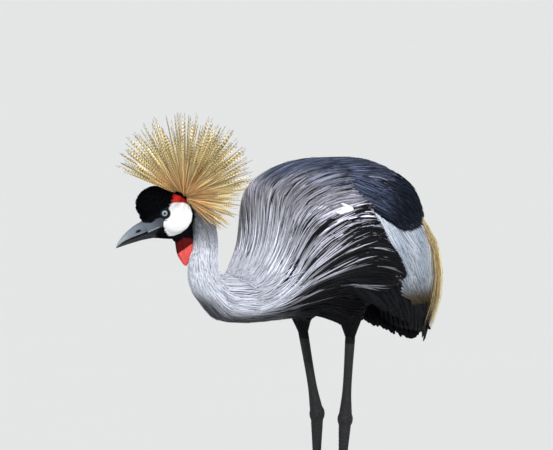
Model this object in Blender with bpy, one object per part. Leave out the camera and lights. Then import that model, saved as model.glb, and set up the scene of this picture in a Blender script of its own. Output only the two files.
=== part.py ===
"""Grey crowned crane, a still life-size model of a bird that stands with its neck lowered.

The bird faces -X, its left side is -Y, and it stands on the floor at z = 0. Sizes are in metres.
At the end everything is shifted so that the origin is under the middle of its bounding box.
"""

import math
import random

import bmesh
import bpy
from mathutils import Matrix, Vector
from mathutils.bvhtree import BVHTree

GAP = 0.0004
SIDES = {"left": -1, "right": 1}
UP = Vector((0, 0, 1))
PROBE = Vector((0.37, 0.21, 0.90)).normalized()

# Trunk outline on the middle plane, from the root of the neck to the rump:
# back x and z, belly x and z, and half the width.
TRUNK = [
    (-0.072, 0.424, -0.065, 0.362, 0.031),
    (-0.055, 0.449, -0.046, 0.361, 0.040),
    (-0.048, 0.492, -0.022, 0.361, 0.053),
    (-0.047, 0.540, 0.002, 0.362, 0.070),
    (-0.034, 0.578, 0.030, 0.364, 0.087),
    (0.016, 0.603, 0.060, 0.366, 0.100),
    (0.078, 0.610, 0.096, 0.369, 0.106),
    (0.140, 0.603, 0.132, 0.376, 0.104),
    (0.192, 0.582, 0.168, 0.392, 0.094),
    (0.232, 0.553, 0.200, 0.418, 0.074),
    (0.256, 0.515, 0.228, 0.452, 0.045),
]
TRUNK_SQUARENESS = 2.2
TRUNK_RINGS = 15
TRUNK_SIDES = 20

# Neck centre line from the trunk to the head: x, y, z and radius.
NECK = [
    (-0.0690, 0.0000, 0.3930, 0.0308),
    (-0.0880, -0.0010, 0.3940, 0.0288),
    (-0.1060, -0.0010, 0.3990, 0.0272),
    (-0.1250, 0.0000, 0.4130, 0.0252),
    (-0.1360, 0.0010, 0.4330, 0.0228),
    (-0.1390, 0.0020, 0.4580, 0.0205),
    (-0.1370, 0.0010, 0.4830, 0.0190),
    (-0.1370, 0.0020, 0.5060, 0.0182),
    (-0.1410, 0.0050, 0.5270, 0.0178),
    (-0.1490, 0.0095, 0.5440, 0.0165),
    (-0.1620, 0.0190, 0.5530, 0.0150),
]
NECK_PARTS = {"neck_lower": (0.0, 0.34), "neck_middle": (0.34, 0.67), "neck_upper": (0.67, 1.0)}
NECK_SIDES = 16
NECK_RINGS = 6

# The head has its own axes: F along the bill, U to the crown, S to the bird's left cheek.
HEAD_AT = Vector((-0.1862, 0.0364, 0.5403))
HEAD_TURN = math.radians(36)
HEAD_PITCH = math.radians(27)
HEAD_FLAT = Vector((-math.cos(HEAD_TURN), math.sin(HEAD_TURN), 0))
HEAD_F = HEAD_FLAT * math.cos(HEAD_PITCH) - UP * math.sin(HEAD_PITCH)
HEAD_U = HEAD_FLAT * math.sin(HEAD_PITCH) + UP * math.cos(HEAD_PITCH)
HEAD_S = Vector((-math.sin(HEAD_TURN), -math.cos(HEAD_TURN), 0))
# Skull sections along F: place, top, bottom and half the width.
SKULL = [
    (-0.0415, -0.008, -0.024, 0.0050),
    (-0.0385, -0.001, -0.031, 0.0105),
    (-0.0300, 0.0135, -0.0375, 0.0165),
    (-0.0180, 0.0270, -0.0420, 0.0195),
    (-0.0040, 0.0320, -0.0430, 0.0205),
    (0.0090, 0.0280, -0.0415, 0.0190),
    (0.0200, 0.0200, -0.0360, 0.0160),
    (0.0300, 0.0120, -0.0300, 0.0130),
    (0.0385, 0.0060, -0.0260, 0.0105),
]
CUSHION_AT = (0.0130, 0.0235, 0)
CUSHION_SIZE = (0.0250, 0.0240, 0.0165)
CHEEK_AT = (-0.0120, -0.0130, 0.0150)
CHEEK_SIZE = (0.0265, 0.0245, 0.0075)
EYE_AT = (0.0015, 0.0, 0.0158)
EYE_RADIUS = 0.0066
# Bill sections along F: place, culmen, mouth line, lower edge of the bill and half the width.
BILL = [
    (0.0290, 0.0085, -0.0160, -0.0290, 0.0108),
    (0.0400, 0.0035, -0.0162, -0.0265, 0.0095),
    (0.0520, -0.0005, -0.0160, -0.0240, 0.0078),
    (0.0640, -0.0045, -0.0158, -0.0218, 0.0062),
    (0.0760, -0.0085, -0.0156, -0.0195, 0.0045),
    (0.0860, -0.0120, -0.0154, -0.0174, 0.0028),
    (0.0925, -0.0146, -0.0156, -0.0160, 0.0010),
]
NOSTRIL_AT = (0.0500, -0.0075, 0.0078)
NOSTRIL_SIZE = (0.0046, 0.0019, 0.0022)
GAPE_AT = (0.0235, -0.0168, 0.0140)
GAPE_SIZE = (0.0080, 0.0006, 0.0040)
# The lid ring round the eye, in section: distance from the eye's axis and height over its middle.
LID = [(0.0053, 0.0048), (0.0062, 0.0056), (0.0088, 0.0004), (0.0075, -0.0010), (0.0073, 0.0020)]

CREST_AT = (-0.0300, 0.0090, 0)
CREST_PAD = (0.0150, 0.0120, 0.0125)
CREST_LEAN = math.radians(33)
CREST_SPREAD = math.radians(93)
CREST_NARROWER = 0.80
CREST_LENGTH = 0.129
CREST_BRISTLES = 118
BRISTLE_RADIUS = 0.0011
BRISTLE_CLEAR = 0.0006
RED_AT = (-0.0215, 0.0135, 0.0135)
RED_SIZE = (0.0130, 0.0090, 0.0065)

# Wing barrel at a few heights: z, centre x, half length and half width.
WING_LEVELS = [
    (0.310, 0.172, 0.104, 0.060),
    (0.350, 0.152, 0.134, 0.082),
    (0.385, 0.138, 0.156, 0.100),
    (0.425, 0.125, 0.169, 0.113),
    (0.470, 0.117, 0.168, 0.117),
    (0.515, 0.105, 0.153, 0.112),
    (0.560, 0.096, 0.138, 0.098),
    (0.600, 0.092, 0.115, 0.078),
]
WING_REAR = math.radians(3)
WING_FRONT = math.radians(122)
WING_LOW = [0.324, 0.321, 0.325, 0.342, 0.372, 0.405]
WING_HIGH = [0.522, 0.545, 0.560, 0.562, 0.550, 0.520]
WING_THICK = 0.011
WING_STEPS = (10, 6)
WING_FRINGE = 0.012

# Feathers. A shape has the share of the length, the lift off the surface and the half width, root first.
VANE_THICK = 0.0005
VANE_SUNK = 0.0030
VANE_CLEAR = 0.0005
VANE_TRIES = [(shorter, raised) for shorter in (1.0, 0.8, 0.6) for raised in (0, 0.0010, 0.0020, 0.0030)]
LANCE = [(0.0, 0.0, 0.0034), (0.30, 0.0022, 0.0078), (0.70, 0.0036, 0.0062), (1.0, 0.0042, 0.0)]
BROAD = [(0.0, 0.0, 0.0045), (0.35, 0.0016, 0.0110), (0.86, 0.0026, 0.0095), (1.0, 0.0028, 0.0)]
PLUME = [(0.0, 0.0, 0.0022), (0.30, 0.0024, 0.0042), (0.72, 0.0036, 0.0034), (1.0, 0.0040, 0.0)]
MANTLE_ROWS = [0.10, 0.22, 0.35, 0.49, 0.63, 0.76]
MANTLE_SPREAD = math.radians(122)
MANTLE_SPACING = 0.030
MANTLE_LENGTH = 0.088
HACKLES = 9
HACKLE_LENGTH = 0.060
# Wing tiers: height of the roots on the wing, front and rear end of the row, how many, and length.
# A tier with no length reaches the wing's lower edge.
WING_TIERS = [
    (0.80, 0.90, 0.15, 5, 0.066, BROAD),
    (0.58, 0.93, 0.11, 5, 0.080, BROAD),
    (0.38, 0.94, 0.17, 6, 0.0, BROAD),
    (0.62, 0.17, 0.035, 5, 0.0, PLUME),
]
WING_SLOPES = (math.radians(85), math.radians(44))
TAIL_VANES = 8
TAIL_SPREAD = math.radians(26)
TAIL_LENGTH = 0.115

# Legs: trunk end, bare shank top, ankle and foot joint of each, then the toes.
LEGS = {
    "left": [(0.103, -0.050, 0.395), (0.1030, -0.0485, 0.330), (0.1000, -0.0400, 0.206),
             (0.0860, -0.0400, 0.0130)],
    "right": [(0.078, 0.051, 0.395), (0.0850, 0.0485, 0.330), (0.1050, 0.0405, 0.206),
              (0.1040, 0.0410, 0.0130)],
}
THIGH_RADII = (0.030, 0.020, 0.0095)
SHANK_RADII = (0.0078, 0.0070, 0.0072, 0.0105)
TARSUS_RADII = (0.0098, 0.0066, 0.0060, 0.0070)
ANKLE_SIZE = (0.0125, 0.0110, 0.0150)
FOOT_PAD = (0.0115, 0.0100, 0.0112)
TOES = {"middle": (0, 0.080, 0.0058), "inner": (30, 0.060, 0.0053), "outer": (-32, 0.064, 0.0053),
        "hind": (176, 0.034, 0.0048)}
CLAW_LENGTH = 0.013


def clear_scene():
    for obj in list(bpy.data.objects):
        bpy.data.objects.remove(obj, do_unlink=True)


def new_collection(name):
    found = bpy.data.collections.new(name)
    bpy.context.scene.collection.children.link(found)
    return found


def material(name, colour, roughness=0.7, metallic=0.0):
    made = bpy.data.materials.new(name)
    made.use_nodes = True
    shader = made.node_tree.nodes["Principled BSDF"]
    shader.inputs["Base Color"].default_value = (*colour, 1)
    shader.inputs["Roughness"].default_value = roughness
    shader.inputs["Metallic"].default_value = metallic
    made.diffuse_color = (*colour, 1)
    return made


def curve_at(rows, t):
    """A smooth curve through the rows, each a tuple of numbers, with t from 0 to 1."""
    place = max(0.0, min(1.0, t)) * (len(rows) - 1)
    i = min(int(place), len(rows) - 2)
    f = place - i
    before, a, b, after = (rows[max(0, min(len(rows) - 1, i + k))] for k in (-1, 0, 1, 2))
    return [
        0.5 * (2 * q + (r - p) * f + (2 * p - 5 * q + 4 * r - s) * f * f
               + (3 * q - p - 3 * r + s) * f ** 3)
        for p, q, r, s in zip(before, a, b, after)
    ]


def value_at(values, t):
    return curve_at([(v,) for v in values], t)[0]


def row_by(rows, key):
    """The row, after its first number, that a table in rising order of it holds at key."""
    for low, high in zip(rows, rows[1:]):
        if key <= high[0]:
            break
    f = max(0.0, min(1.0, (key - low[0]) / (high[0] - low[0])))
    f = f * f * (3 - 2 * f) * 0.35 + f * 0.65
    return [a + (b - a) * f for a, b in zip(low[1:], high[1:])]


def mesh_object(name, points, faces, home):
    data = bpy.data.meshes.new(name)
    data.from_pydata([tuple(p) for p in points], [], faces)
    made = bpy.data.objects.new(name, data)
    home.objects.link(made)
    return made


def face_out(obj):
    shape = bmesh.new()
    shape.from_mesh(obj.data)
    bmesh.ops.recalc_face_normals(shape, faces=shape.faces)
    if shape.calc_volume(signed=True) < 0:
        bmesh.ops.reverse_faces(shape, faces=shape.faces)
    shape.to_mesh(obj.data)
    shape.free()
    return obj


def loft(name, rings, home):
    """A closed body through rings of equally many points, with a fan over each end."""
    count = len(rings[0])
    points = [p for ring in rings for p in ring]
    faces = []
    for r in range(len(rings) - 1):
        for k in range(count):
            a, b = r * count + k, r * count + (k + 1) % count
            faces.append((a, b, b + count, a + count))
    for ring, start in ((rings[0], 0), (rings[-1], (len(rings) - 1) * count)):
        middle = sum((Vector(p) for p in ring), Vector()) / count
        points.append(middle)
        for k in range(count):
            faces.append((start + (k + 1) % count, start + k, len(points) - 1))
    return face_out(mesh_object(name, points, faces, home))


def ring_of(centre, right, up, half_right, half_up, sides, squareness=2.0):
    """Points of a superellipse, from the up direction round."""
    points = []
    for k in range(sides):
        a = 2 * math.pi * k / sides
        c, s = math.cos(a), math.sin(a)
        reach_up = math.copysign(abs(c) ** (2 / squareness), c)
        reach_right = math.copysign(abs(s) ** (2 / squareness), s)
        points.append(centre + up * (half_up * reach_up) + right * (half_right * reach_right))
    return points


def tube(name, rows, sides, home, floor=None):
    """A round body along rows of x, y, z and radius. With a floor it is cut flat at that height."""
    rings = []
    side = None
    for i, row in enumerate(rows):
        before, after = rows[max(0, i - 1)], rows[min(len(rows) - 1, i + 1)]
        along = (Vector(after[:3]) - Vector(before[:3])).normalized()
        if side is None:
            side = along.cross(Vector((0, 1, 0)) if abs(along.y) < 0.9 else UP).normalized()
        side = (side - along * side.dot(along)).normalized()
        ring = ring_of(Vector(row[:3]), along.cross(side), side, row[3], row[3], sides)
        if floor is not None:
            ring = [Vector((p.x, p.y, max(p.z, floor))) for p in ring]
        rings.append(ring)
    return loft(name, rings, home)


def ellipsoid(name, centre, axes, sizes, home, segments=20, rings=12):
    """axes are three unit vectors and sizes the half lengths along them."""
    data = bpy.data.meshes.new(name)
    shape = bmesh.new()
    bmesh.ops.create_uvsphere(shape, u_segments=segments, v_segments=rings, radius=1)
    turn = Matrix([axes[0] * sizes[0], axes[1] * sizes[1], axes[2] * sizes[2]]).transposed()
    for v in shape.verts:
        v.co = Vector(centre) + turn @ v.co
    bmesh.ops.recalc_face_normals(shape, faces=shape.faces)
    shape.to_mesh(data)
    shape.free()
    made = bpy.data.objects.new(name, data)
    home.objects.link(made)
    return face_out(made)


def grown(obj, gap=GAP):
    """A copy of the object that is larger all round by the gap, for cutting its neighbours."""
    copy = obj.copy()
    copy.data = obj.data.copy()
    copy.name = obj.name + "_cutter"
    shape = bmesh.new()
    shape.from_mesh(copy.data)
    shape.normal_update()
    moved = [v.co + v.normal * (gap * v.calc_shell_factor()) for v in shape.verts]
    for v, place in zip(shape.verts, moved):
        v.co = place
    shape.to_mesh(copy.data)
    shape.free()
    CUTTERS.objects.link(copy)
    copy.hide_render = True
    copy.display_type = "WIRE"
    return copy


def apply_modifiers(obj):
    graph = bpy.context.evaluated_depsgraph_get()
    data = bpy.data.meshes.new_from_object(obj.evaluated_get(graph))
    obj.modifiers.clear()
    obj.data = data


def keep_largest(obj):
    """Leaves only the largest closed surface of the mesh."""
    shape = bmesh.new()
    shape.from_mesh(obj.data)
    left, groups = set(shape.verts), []
    while left:
        stack, group = [left.pop()], []
        while stack:
            v = stack.pop()
            group.append(v)
            for edge in v.link_edges:
                other = edge.other_vert(v)
                if other in left:
                    left.discard(other)
                    stack.append(other)
        groups.append(group)

    def reach(group):
        low = [min(v.co[k] for v in group) for k in range(3)]
        high = [max(v.co[k] for v in group) for k in range(3)]
        return math.prod(b - a for a, b in zip(low, high))

    groups.sort(key=reach)
    for group in groups[:-1]:
        bmesh.ops.delete(shape, geom=group, context="VERTS")
    shape.to_mesh(obj.data)
    shape.free()


def cut(obj, *neighbours, gap=GAP):
    """Takes the neighbours, each larger by the gap, out of the object."""
    for other in neighbours:
        cutter = grown(other, gap)
        step = obj.modifiers.new("cut", "BOOLEAN")
        step.operation = "DIFFERENCE"
        step.object = cutter
        step.solver = "MANIFOLD"
        apply_modifiers(obj)
        bpy.data.objects.remove(cutter)
    keep_largest(obj)
    return obj


def fuse(obj, pieces):
    """Joins the pieces to the object as one closed body."""
    if not pieces:
        return obj
    group = new_collection(obj.name + "_pieces")
    for piece in pieces:
        for home in list(piece.users_collection):
            home.objects.unlink(piece)
        group.objects.link(piece)
    step = obj.modifiers.new("join", "BOOLEAN")
    step.operation = "UNION"
    step.operand_type = "COLLECTION"
    step.collection = group
    step.solver = "MANIFOLD"
    apply_modifiers(obj)
    for piece in pieces:
        bpy.data.objects.remove(piece)
    bpy.data.collections.remove(group)
    keep_largest(obj)
    return obj


def tree_of(obj):
    points = [v.co.copy() for v in obj.data.vertices]
    return BVHTree.FromPolygons(points, [tuple(face.vertices) for face in obj.data.polygons])


def is_inside(tree, point):
    hits = 0
    place = point
    while place is not None:
        place = tree.ray_cast(place + PROBE * 1e-6, PROBE)[0]
        hits += place is not None
    return hits % 2 == 1


def is_sunk(tree, point, depth):
    return is_inside(tree, point) and tree.find_nearest(point)[3] > depth


def clashes(shape, foreign):
    """Whether a shape, given as points and faces, crosses one of the foreign surfaces."""
    tree = BVHTree.FromPolygons(*shape)
    return any(tree.overlap(other) for other in foreign)


def spine_shape(root, along, length, radius):
    """A three-sided tapered bristle."""
    side = along.orthogonal().normalized()
    up = along.cross(side)
    points = []
    for place, size in ((0, 1.0), (0.6, 0.8)):
        for k in range(3):
            a = 2 * math.pi * k / 3
            points.append(root + along * (length * place) + (side * math.cos(a) + up * math.sin(a)) * (radius * size))
    points.append(root + along * length)
    faces = [(2, 1, 0)]
    for k in range(3):
        a, b = k, (k + 1) % 3
        faces += [(a, b, b + 3), (a, b + 3, a + 3), (a + 3, b + 3, 6)]
    return points, faces


def vane_shape(stations, extra=0.0):
    """A flat tapered feather, alike on both faces. A station is its middle, side way, face way and half width."""
    points, faces = [], []
    thick = VANE_THICK + extra
    for middle, side, face, half_width in stations[:-1]:
        width = half_width + extra
        points += [middle - side * width, middle + face * thick, middle + side * width, middle - face * thick]
    end = stations[-1][0]
    points.append(end + (end - stations[-2][0]).normalized() * extra)
    tip = len(points) - 1
    last = tip - 4
    for edge, ridge in ((0, 1), (2, 1), (0, 3), (2, 3)):
        for base in range(0, last, 4):
            e, r = base + edge, base + ridge
            faces += [(e, r, r + 4), (e, r + 4, e + 4)]
        faces.append((last + edge, last + ridge, tip))
    faces += [(0, 1, 2), (0, 2, 3)]
    return points, faces


def settle(ground, point, away):
    """The spot on the outer surfaces nearest to a point, looked for from outside, and the way out there."""
    hits = [tree.find_nearest(point + away * 0.02) for tree in ground]
    place, normal, _, _ = min(hits, key=lambda hit: hit[3])
    return place, normal


def lay_vane(name, path, shape, ground, foreign, home):
    """A feather along a path over the ground, lifted or shortened until it is clear of the foreign surfaces."""
    for shorter, raised in VANE_TRIES:
        spots = [settle(ground, *path(share * shorter)) for share, _, _ in shape]
        middles = [place + normal * (lift + raised if share else -VANE_SUNK)
                   for (place, normal), (share, lift, _) in zip(spots, shape)]
        stations = []
        for k, ((_, normal), (_, _, half_width)) in enumerate(zip(spots, shape)):
            along = middles[min(k + 1, len(middles) - 1)] - middles[max(k - 1, 0)]
            side = along.cross(normal).normalized()
            stations.append((middles[k], side, side.cross(along).normalized(), half_width))
        if not clashes(vane_shape(stations, VANE_CLEAR), foreign):
            return face_out(mesh_object(name, *vane_shape(stations), home))
    return None


def head_point(place):
    f, u, s = place
    return HEAD_AT + HEAD_F * f + HEAD_U * u + HEAD_S * s


def trunk_ring(t, sides=TRUNK_SIDES):
    back_x, back_z, belly_x, belly_z, half_width = curve_at(TRUNK, t)
    top, bottom = Vector((back_x, 0, back_z)), Vector((belly_x, 0, belly_z))
    up = (top - bottom).normalized()
    return ring_of((top + bottom) / 2, Vector((0, 1, 0)), up, half_width,
                   (top - bottom).length / 2, sides, TRUNK_SQUARENESS)


def trunk_path(t, angle):
    """The point of the trunk's surface at t, which may pass the end, and the way out of it."""
    back_x, back_z, belly_x, belly_z, half_width = curve_at(TRUNK, t)
    top, bottom = Vector((back_x, 0, back_z)), Vector((belly_x, 0, belly_z))
    c, s = math.cos(angle), math.sin(angle)
    power = 2 / TRUNK_SQUARENESS
    out = (top - bottom) / 2 * math.copysign(abs(c) ** power, c)
    out += Vector((0, half_width * math.copysign(abs(s) ** power, s), 0))
    point = (top + bottom) / 2 + out
    if t > 1:
        point += (trunk_path(1, angle)[0] - trunk_path(0.96, angle)[0]) / 0.04 * (t - 1)
    return point, out.normalized()


def make_trunk():
    rings = [trunk_ring(k / (TRUNK_RINGS - 1)) for k in range(TRUNK_RINGS)]
    last = rings[-1]
    middle = sum(last, Vector()) / len(last)
    rump = Vector((0.010, 0, 0.002))
    rings.append([middle + (p - middle) * 0.55 + rump * 0.75 for p in last])
    return loft("torso", rings, PARTS)


def make_mantle(torso, wings):
    """Long lance-shaped feathers that stream from the neck over the shoulders and back."""
    inside = [tree_of(torso)]
    foreign = [tree_of(wing) for wing in wings]
    pieces = []
    for row, start in enumerate(MANTLE_ROWS):
        girth = trunk_path(start, math.radians(90))[0].y * 1.25
        count = int(2 * MANTLE_SPREAD * girth / MANTLE_SPACING)
        for k in range(count):
            angle = MANTLE_SPREAD * (2 * (k + 0.5 * (row % 2)) / (count - 0.5) - 1)
            angle += RANDOM.uniform(-0.03, 0.03)
            first = start + RANDOM.uniform(-0.02, 0.02)
            pace = (trunk_path(first + 0.05, angle)[0] - trunk_path(first, angle)[0]).length / 0.05
            reach = MANTLE_LENGTH * RANDOM.uniform(0.88, 1.08) / max(pace, 0.12)
            root, out = trunk_path(first, angle)
            if not is_sunk(inside[0], root - out * VANE_SUNK, 0.001):
                continue

            def path(share, first=first, reach=reach, angle=angle):
                return trunk_path(first + reach * share, angle)

            shape = [(share, lift * (0.6 if row == 0 else 1), half) for share, lift, half in LANCE]
            pieces.append(lay_vane(f"mantle_{row}_{k}", path, shape, inside + foreign, foreign, PARTS))
    return [piece for piece in pieces if piece]


def neck_ring(t, slide=0.0, sides=NECK_SIDES):
    """A ring square to the neck at t, moved along it by slide."""
    x, y, z, radius = curve_at(NECK, t)
    ahead, behind = curve_at(NECK, t + 0.01), curve_at(NECK, t - 0.01)
    along = (Vector(ahead[:3]) - Vector(behind[:3])).normalized()
    side = (Vector((0, 1, 0)) - along * along.y).normalized()
    return ring_of(Vector((x, y, z)) + along * slide, along.cross(side), side, radius, radius, sides)


def make_neck():
    parts = {}
    for name, (start, end) in NECK_PARTS.items():
        rings = []
        for k in range(NECK_RINGS + 1):
            slide = GAP / 2 * ((k == 0) - (k == NECK_RINGS))
            rings.append(neck_ring(start + (end - start) * k / NECK_RINGS, slide))
        parts[name] = loft(name, rings, PARTS)
    return parts


def make_hackles(neck, torso):
    """Pale lance feathers that reach from the neck over the front of the trunk."""
    ground = [tree_of(neck), tree_of(torso)]
    x, y, z, radius = NECK[0]
    ahead = curve_at(NECK, 0.01)
    along = (Vector(ahead[:3]) - Vector((x, y, z))).normalized()
    side = (Vector((0, 1, 0)) - along * along.y).normalized()
    pieces = []
    for k in range(HACKLES):
        angle = 2 * math.pi * k / HACKLES + RANDOM.uniform(-0.06, 0.06)
        out = side * math.cos(angle) + along.cross(side) * math.sin(angle)
        start = RANDOM.uniform(0.026, 0.034)
        length = HACKLE_LENGTH * RANDOM.uniform(0.9, 1.1)

        def path(share, out=out, start=start, length=length):
            return Vector((x, y, z)) + along * (start - length * share) + out * radius, out

        pieces.append(lay_vane(f"hackle_{k}", path, LANCE, ground, ground[1:], PARTS))
    return [piece for piece in pieces if piece]


def head_loft(name, rows, home, sides, squareness):
    rings = []
    for f, top, bottom, half in rows:
        centre = head_point((f, (top + bottom) / 2, 0))
        rings.append(ring_of(centre, HEAD_S, HEAD_U, half, (top - bottom) / 2, sides, squareness))
    return loft(name, rings, home)


def make_head():
    rows = [curve_at(SKULL, k / 10) for k in range(11)]
    head = head_loft("head", rows, PARTS, 16, 2.1)
    cushion = ellipsoid("cushion", head_point(CUSHION_AT), (HEAD_F, HEAD_U, HEAD_S),
                        CUSHION_SIZE, PARTS, 14, 8)
    fuse(head, [cushion])
    for sign in SIDES.values():
        f, u, s = GAPE_AT
        groove = ellipsoid("gape", head_point((f, u, -sign * s)), (HEAD_F, HEAD_U, HEAD_S),
                           GAPE_SIZE, CUTTERS, 10, 4)
        cut(head, groove, gap=0)
        bpy.data.objects.remove(groove)
    return head


def make_bill():
    rows = [curve_at(BILL, k / 8) for k in range(9)]
    slit = 0.0002
    upper = head_loft("bill_upper", [(f, top, mouth + slit, half) for f, top, mouth, _, half in rows],
                      PARTS, 10, 2.3)
    lower = head_loft("bill_lower",
                      [(f, mouth - slit, low - 0.0002, half * 0.9) for f, _, mouth, low, half in rows],
                      PARTS, 10, 2.3)
    for sign in SIDES.values():
        f, u, s = NOSTRIL_AT
        hole = ellipsoid("nostril", head_point((f, u, -sign * s)), (HEAD_F, HEAD_U, HEAD_S),
                         NOSTRIL_SIZE, CUTTERS, 10, 8)
        cut(upper, hole, gap=0)
        bpy.data.objects.remove(hole)
    return upper, lower


def make_pair(name, place, size, segments, rings):
    made = {}
    for side, sign in SIDES.items():
        f, u, s = place
        made[side] = ellipsoid(f"{name}_{side}", head_point((f, u, -sign * s)),
                               (HEAD_F, HEAD_U, HEAD_S), size, PARTS, segments, rings)
    return made


def make_lid(side):
    """A ring of skin round the eye."""
    f, u, s = EYE_AT
    steps = 12
    points, faces = [], []
    for k in range(steps):
        a = 2 * math.pi * k / steps
        for reach, height in LID:
            place = (f + reach * math.cos(a), u + reach * math.sin(a) * 0.93, -SIDES[side] * (s + height))
            points.append(head_point(place))
    size = len(LID)
    for k in range(steps):
        for j in range(size):
            a, b = k * size + j, k * size + (j + 1) % size
            c, d = ((k + 1) % steps) * size + (j + 1) % size, ((k + 1) % steps) * size + j
            faces += [(a, b, c), (a, c, d)]
    return face_out(mesh_object(f"lid_{side}", points, faces, PARTS))


def make_wattle():
    rows = [
        (-0.0080, -0.0400, 0.0130, 0.0085),
        (-0.0060, -0.0520, 0.0140, 0.0080),
        (-0.0010, -0.0650, 0.0125, 0.0065),
        (0.0045, -0.0765, 0.0080, 0.0050),
        (0.0085, -0.0860, 0.0025, 0.0025),
    ]
    rings = []
    for k in range(9):
        f, u, half_long, half_wide = curve_at(rows, k / 8)
        centre = head_point((f, u, 0))
        ring = ring_of(centre, HEAD_S, HEAD_FLAT, half_wide, half_long, 16)
        fold = 0.16 * math.sin(math.pi * k / 8)
        rings.append([centre + (p - centre) * (1 + fold * (-1) ** (i // 2 % 2)) for i, p in enumerate(ring)])
    return loft("wattle", rings, PARTS)


def crest_axes():
    pole = (UP * math.cos(CREST_LEAN) - HEAD_FLAT * math.sin(CREST_LEAN)).normalized()
    return pole.cross(HEAD_S).normalized(), HEAD_S, pole


def crest_way(tilt, turn):
    """The direction that a bristle takes, by its angle from the pole and round it."""
    ahead, aside, pole = crest_axes()
    flat = ahead * math.cos(turn) + aside * (CREST_NARROWER * math.sin(turn))
    return (flat * math.sin(tilt) + pole * math.cos(tilt)).normalized()


def make_crest_pad():
    return ellipsoid("crest", head_point(CREST_AT), crest_axes(), CREST_PAD, PARTS, 14, 8)


def make_bristles(neighbours):
    """The crest's bristles, each turned up until it is clear of the neighbours."""
    foreign = [tree_of(obj) for obj in neighbours]
    pieces = []
    for k in range(CREST_BRISTLES):
        share = (k + 0.5) / CREST_BRISTLES
        tilt = CREST_SPREAD * share ** 0.55 + RANDOM.uniform(-0.05, 0.05)
        turn = k * GOLDEN_TURN + RANDOM.uniform(-0.25, 0.25)
        length = CREST_LENGTH * RANDOM.uniform(0.90, 1.0)
        for _ in range(12):
            way = crest_way(tilt, turn)
            centre = head_point(CREST_AT)
            outer = spine_shape(centre + way * CREST_PAD[1], way, length, BRISTLE_RADIUS + BRISTLE_CLEAR)
            if not clashes(outer, foreign):
                root = centre + way * (CREST_PAD[1] * 0.62)
                shape = spine_shape(root, way, length, BRISTLE_RADIUS)
                pieces.append(face_out(mesh_object(f"bristle_{k}", *shape, PARTS)))
                break
            tilt -= math.radians(4)
    return pieces


def wing_point(sign, angle, z, out):
    centre_x, half_length, half_width = row_by(WING_LEVELS, z)
    normal = Vector((math.cos(angle) / half_length, sign * math.sin(angle) / half_width, 0))
    normal.normalize()
    place = Vector((centre_x + half_length * math.cos(angle), sign * half_width * math.sin(angle), z))
    return place + normal * out


def wing_grid(sign, p, q, out):
    angle = WING_REAR + (WING_FRONT - WING_REAR) * p
    low, high = value_at(WING_LOW, p) + WING_FRINGE, value_at(WING_HIGH, p)
    return wing_point(sign, angle, low + (high - low) * q, out)


def shell(name, outer, inner, steps_p, steps_q, home):
    """A closed plate between two surfaces given as functions of p and q."""
    points, faces = [], []
    for surface in (outer, inner):
        for i in range(steps_p + 1):
            for j in range(steps_q + 1):
                points.append(surface(i / steps_p, j / steps_q))
    row = steps_q + 1
    layer = (steps_p + 1) * row
    for i in range(steps_p):
        for j in range(steps_q):
            a, b, c, d = i * row + j, (i + 1) * row + j, (i + 1) * row + j + 1, i * row + j + 1
            faces += [(a, b, c), (a, c, d), (layer + a, layer + c, layer + b),
                      (layer + a, layer + d, layer + c)]
    edge = [i * row for i in range(steps_p + 1)]
    edge += [steps_p * row + j for j in range(1, steps_q + 1)]
    edge += [i * row + steps_q for i in range(steps_p - 1, -1, -1)]
    edge += [j for j in range(steps_q - 1, 0, -1)]
    for a, b in zip(edge, edge[1:] + edge[:1]):
        faces += [(a, layer + a, layer + b), (a, layer + b, b)]
    return face_out(mesh_object(name, points, faces, home))


def wing_depth(p, q):
    return WING_THICK * (0.35 + 0.65 * min(1, 6 * q) * min(1, 5 * p + 0.4))


def make_wing(side):
    sign = SIDES[side]
    return shell(f"wing_{side}", lambda p, q: wing_grid(sign, p, q, 0),
                 lambda p, q: wing_grid(sign, p, q, -wing_depth(p, q)), *WING_STEPS, PARTS)


def wing_room(side):
    """The space that the torso leaves for a wing: its plate and all that is outside it."""
    sign = SIDES[side]
    margin = GAP / 0.12

    def inner(p, q):
        return wing_grid(sign, p + (2 * p - 1) * margin, q + (2 * q - 1) * margin, -wing_depth(p, q) - GAP)

    def outer(p, q):
        return wing_grid(sign, p + (2 * p - 1) * margin, q + (2 * q - 1) * margin, 0.05)

    return shell(f"room_{side}", outer, inner, *WING_STEPS, CUTTERS)


def make_wing_feathers(side, wing, torso):
    """Tiers of coverts, flight feathers and long plumes that hang towards the rear."""
    sign = SIDES[side]
    ground, foreign = [tree_of(wing)], [tree_of(torso)]
    pieces = []
    for tier, (height, first, last, count, length, shape) in enumerate(WING_TIERS):
        for k in range(count):
            p = first + (last - first) * k / (count - 1) + RANDOM.uniform(-0.01, 0.01)
            angle = WING_REAR + (WING_FRONT - WING_REAR) * p
            slope = WING_SLOPES[0] + (WING_SLOPES[1] - WING_SLOPES[0]) * p
            low, high = value_at(WING_LOW, p), value_at(WING_HIGH, p)
            z = low + (high - low) * (height + RANDOM.uniform(-0.02, 0.02))
            drop = length * math.sin(slope) if length else z - low + RANDOM.uniform(-0.004, 0.004)
            pace = (wing_point(sign, angle + 0.1, z, 0) - wing_point(sign, angle - 0.1, z, 0)).length / 0.2
            turn = drop / math.tan(slope) / pace

            def path(share, angle=angle, turn=turn, z=z, drop=drop):
                spot = [wing_point(sign, angle - turn * share, z - drop * share, out) for out in (0, 1)]
                return spot[0], spot[1] - spot[0]

            pieces.append(lay_vane(f"wing_{tier}_{k}", path, shape, ground, foreign, PARTS))
    return [piece for piece in pieces if piece]


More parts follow.
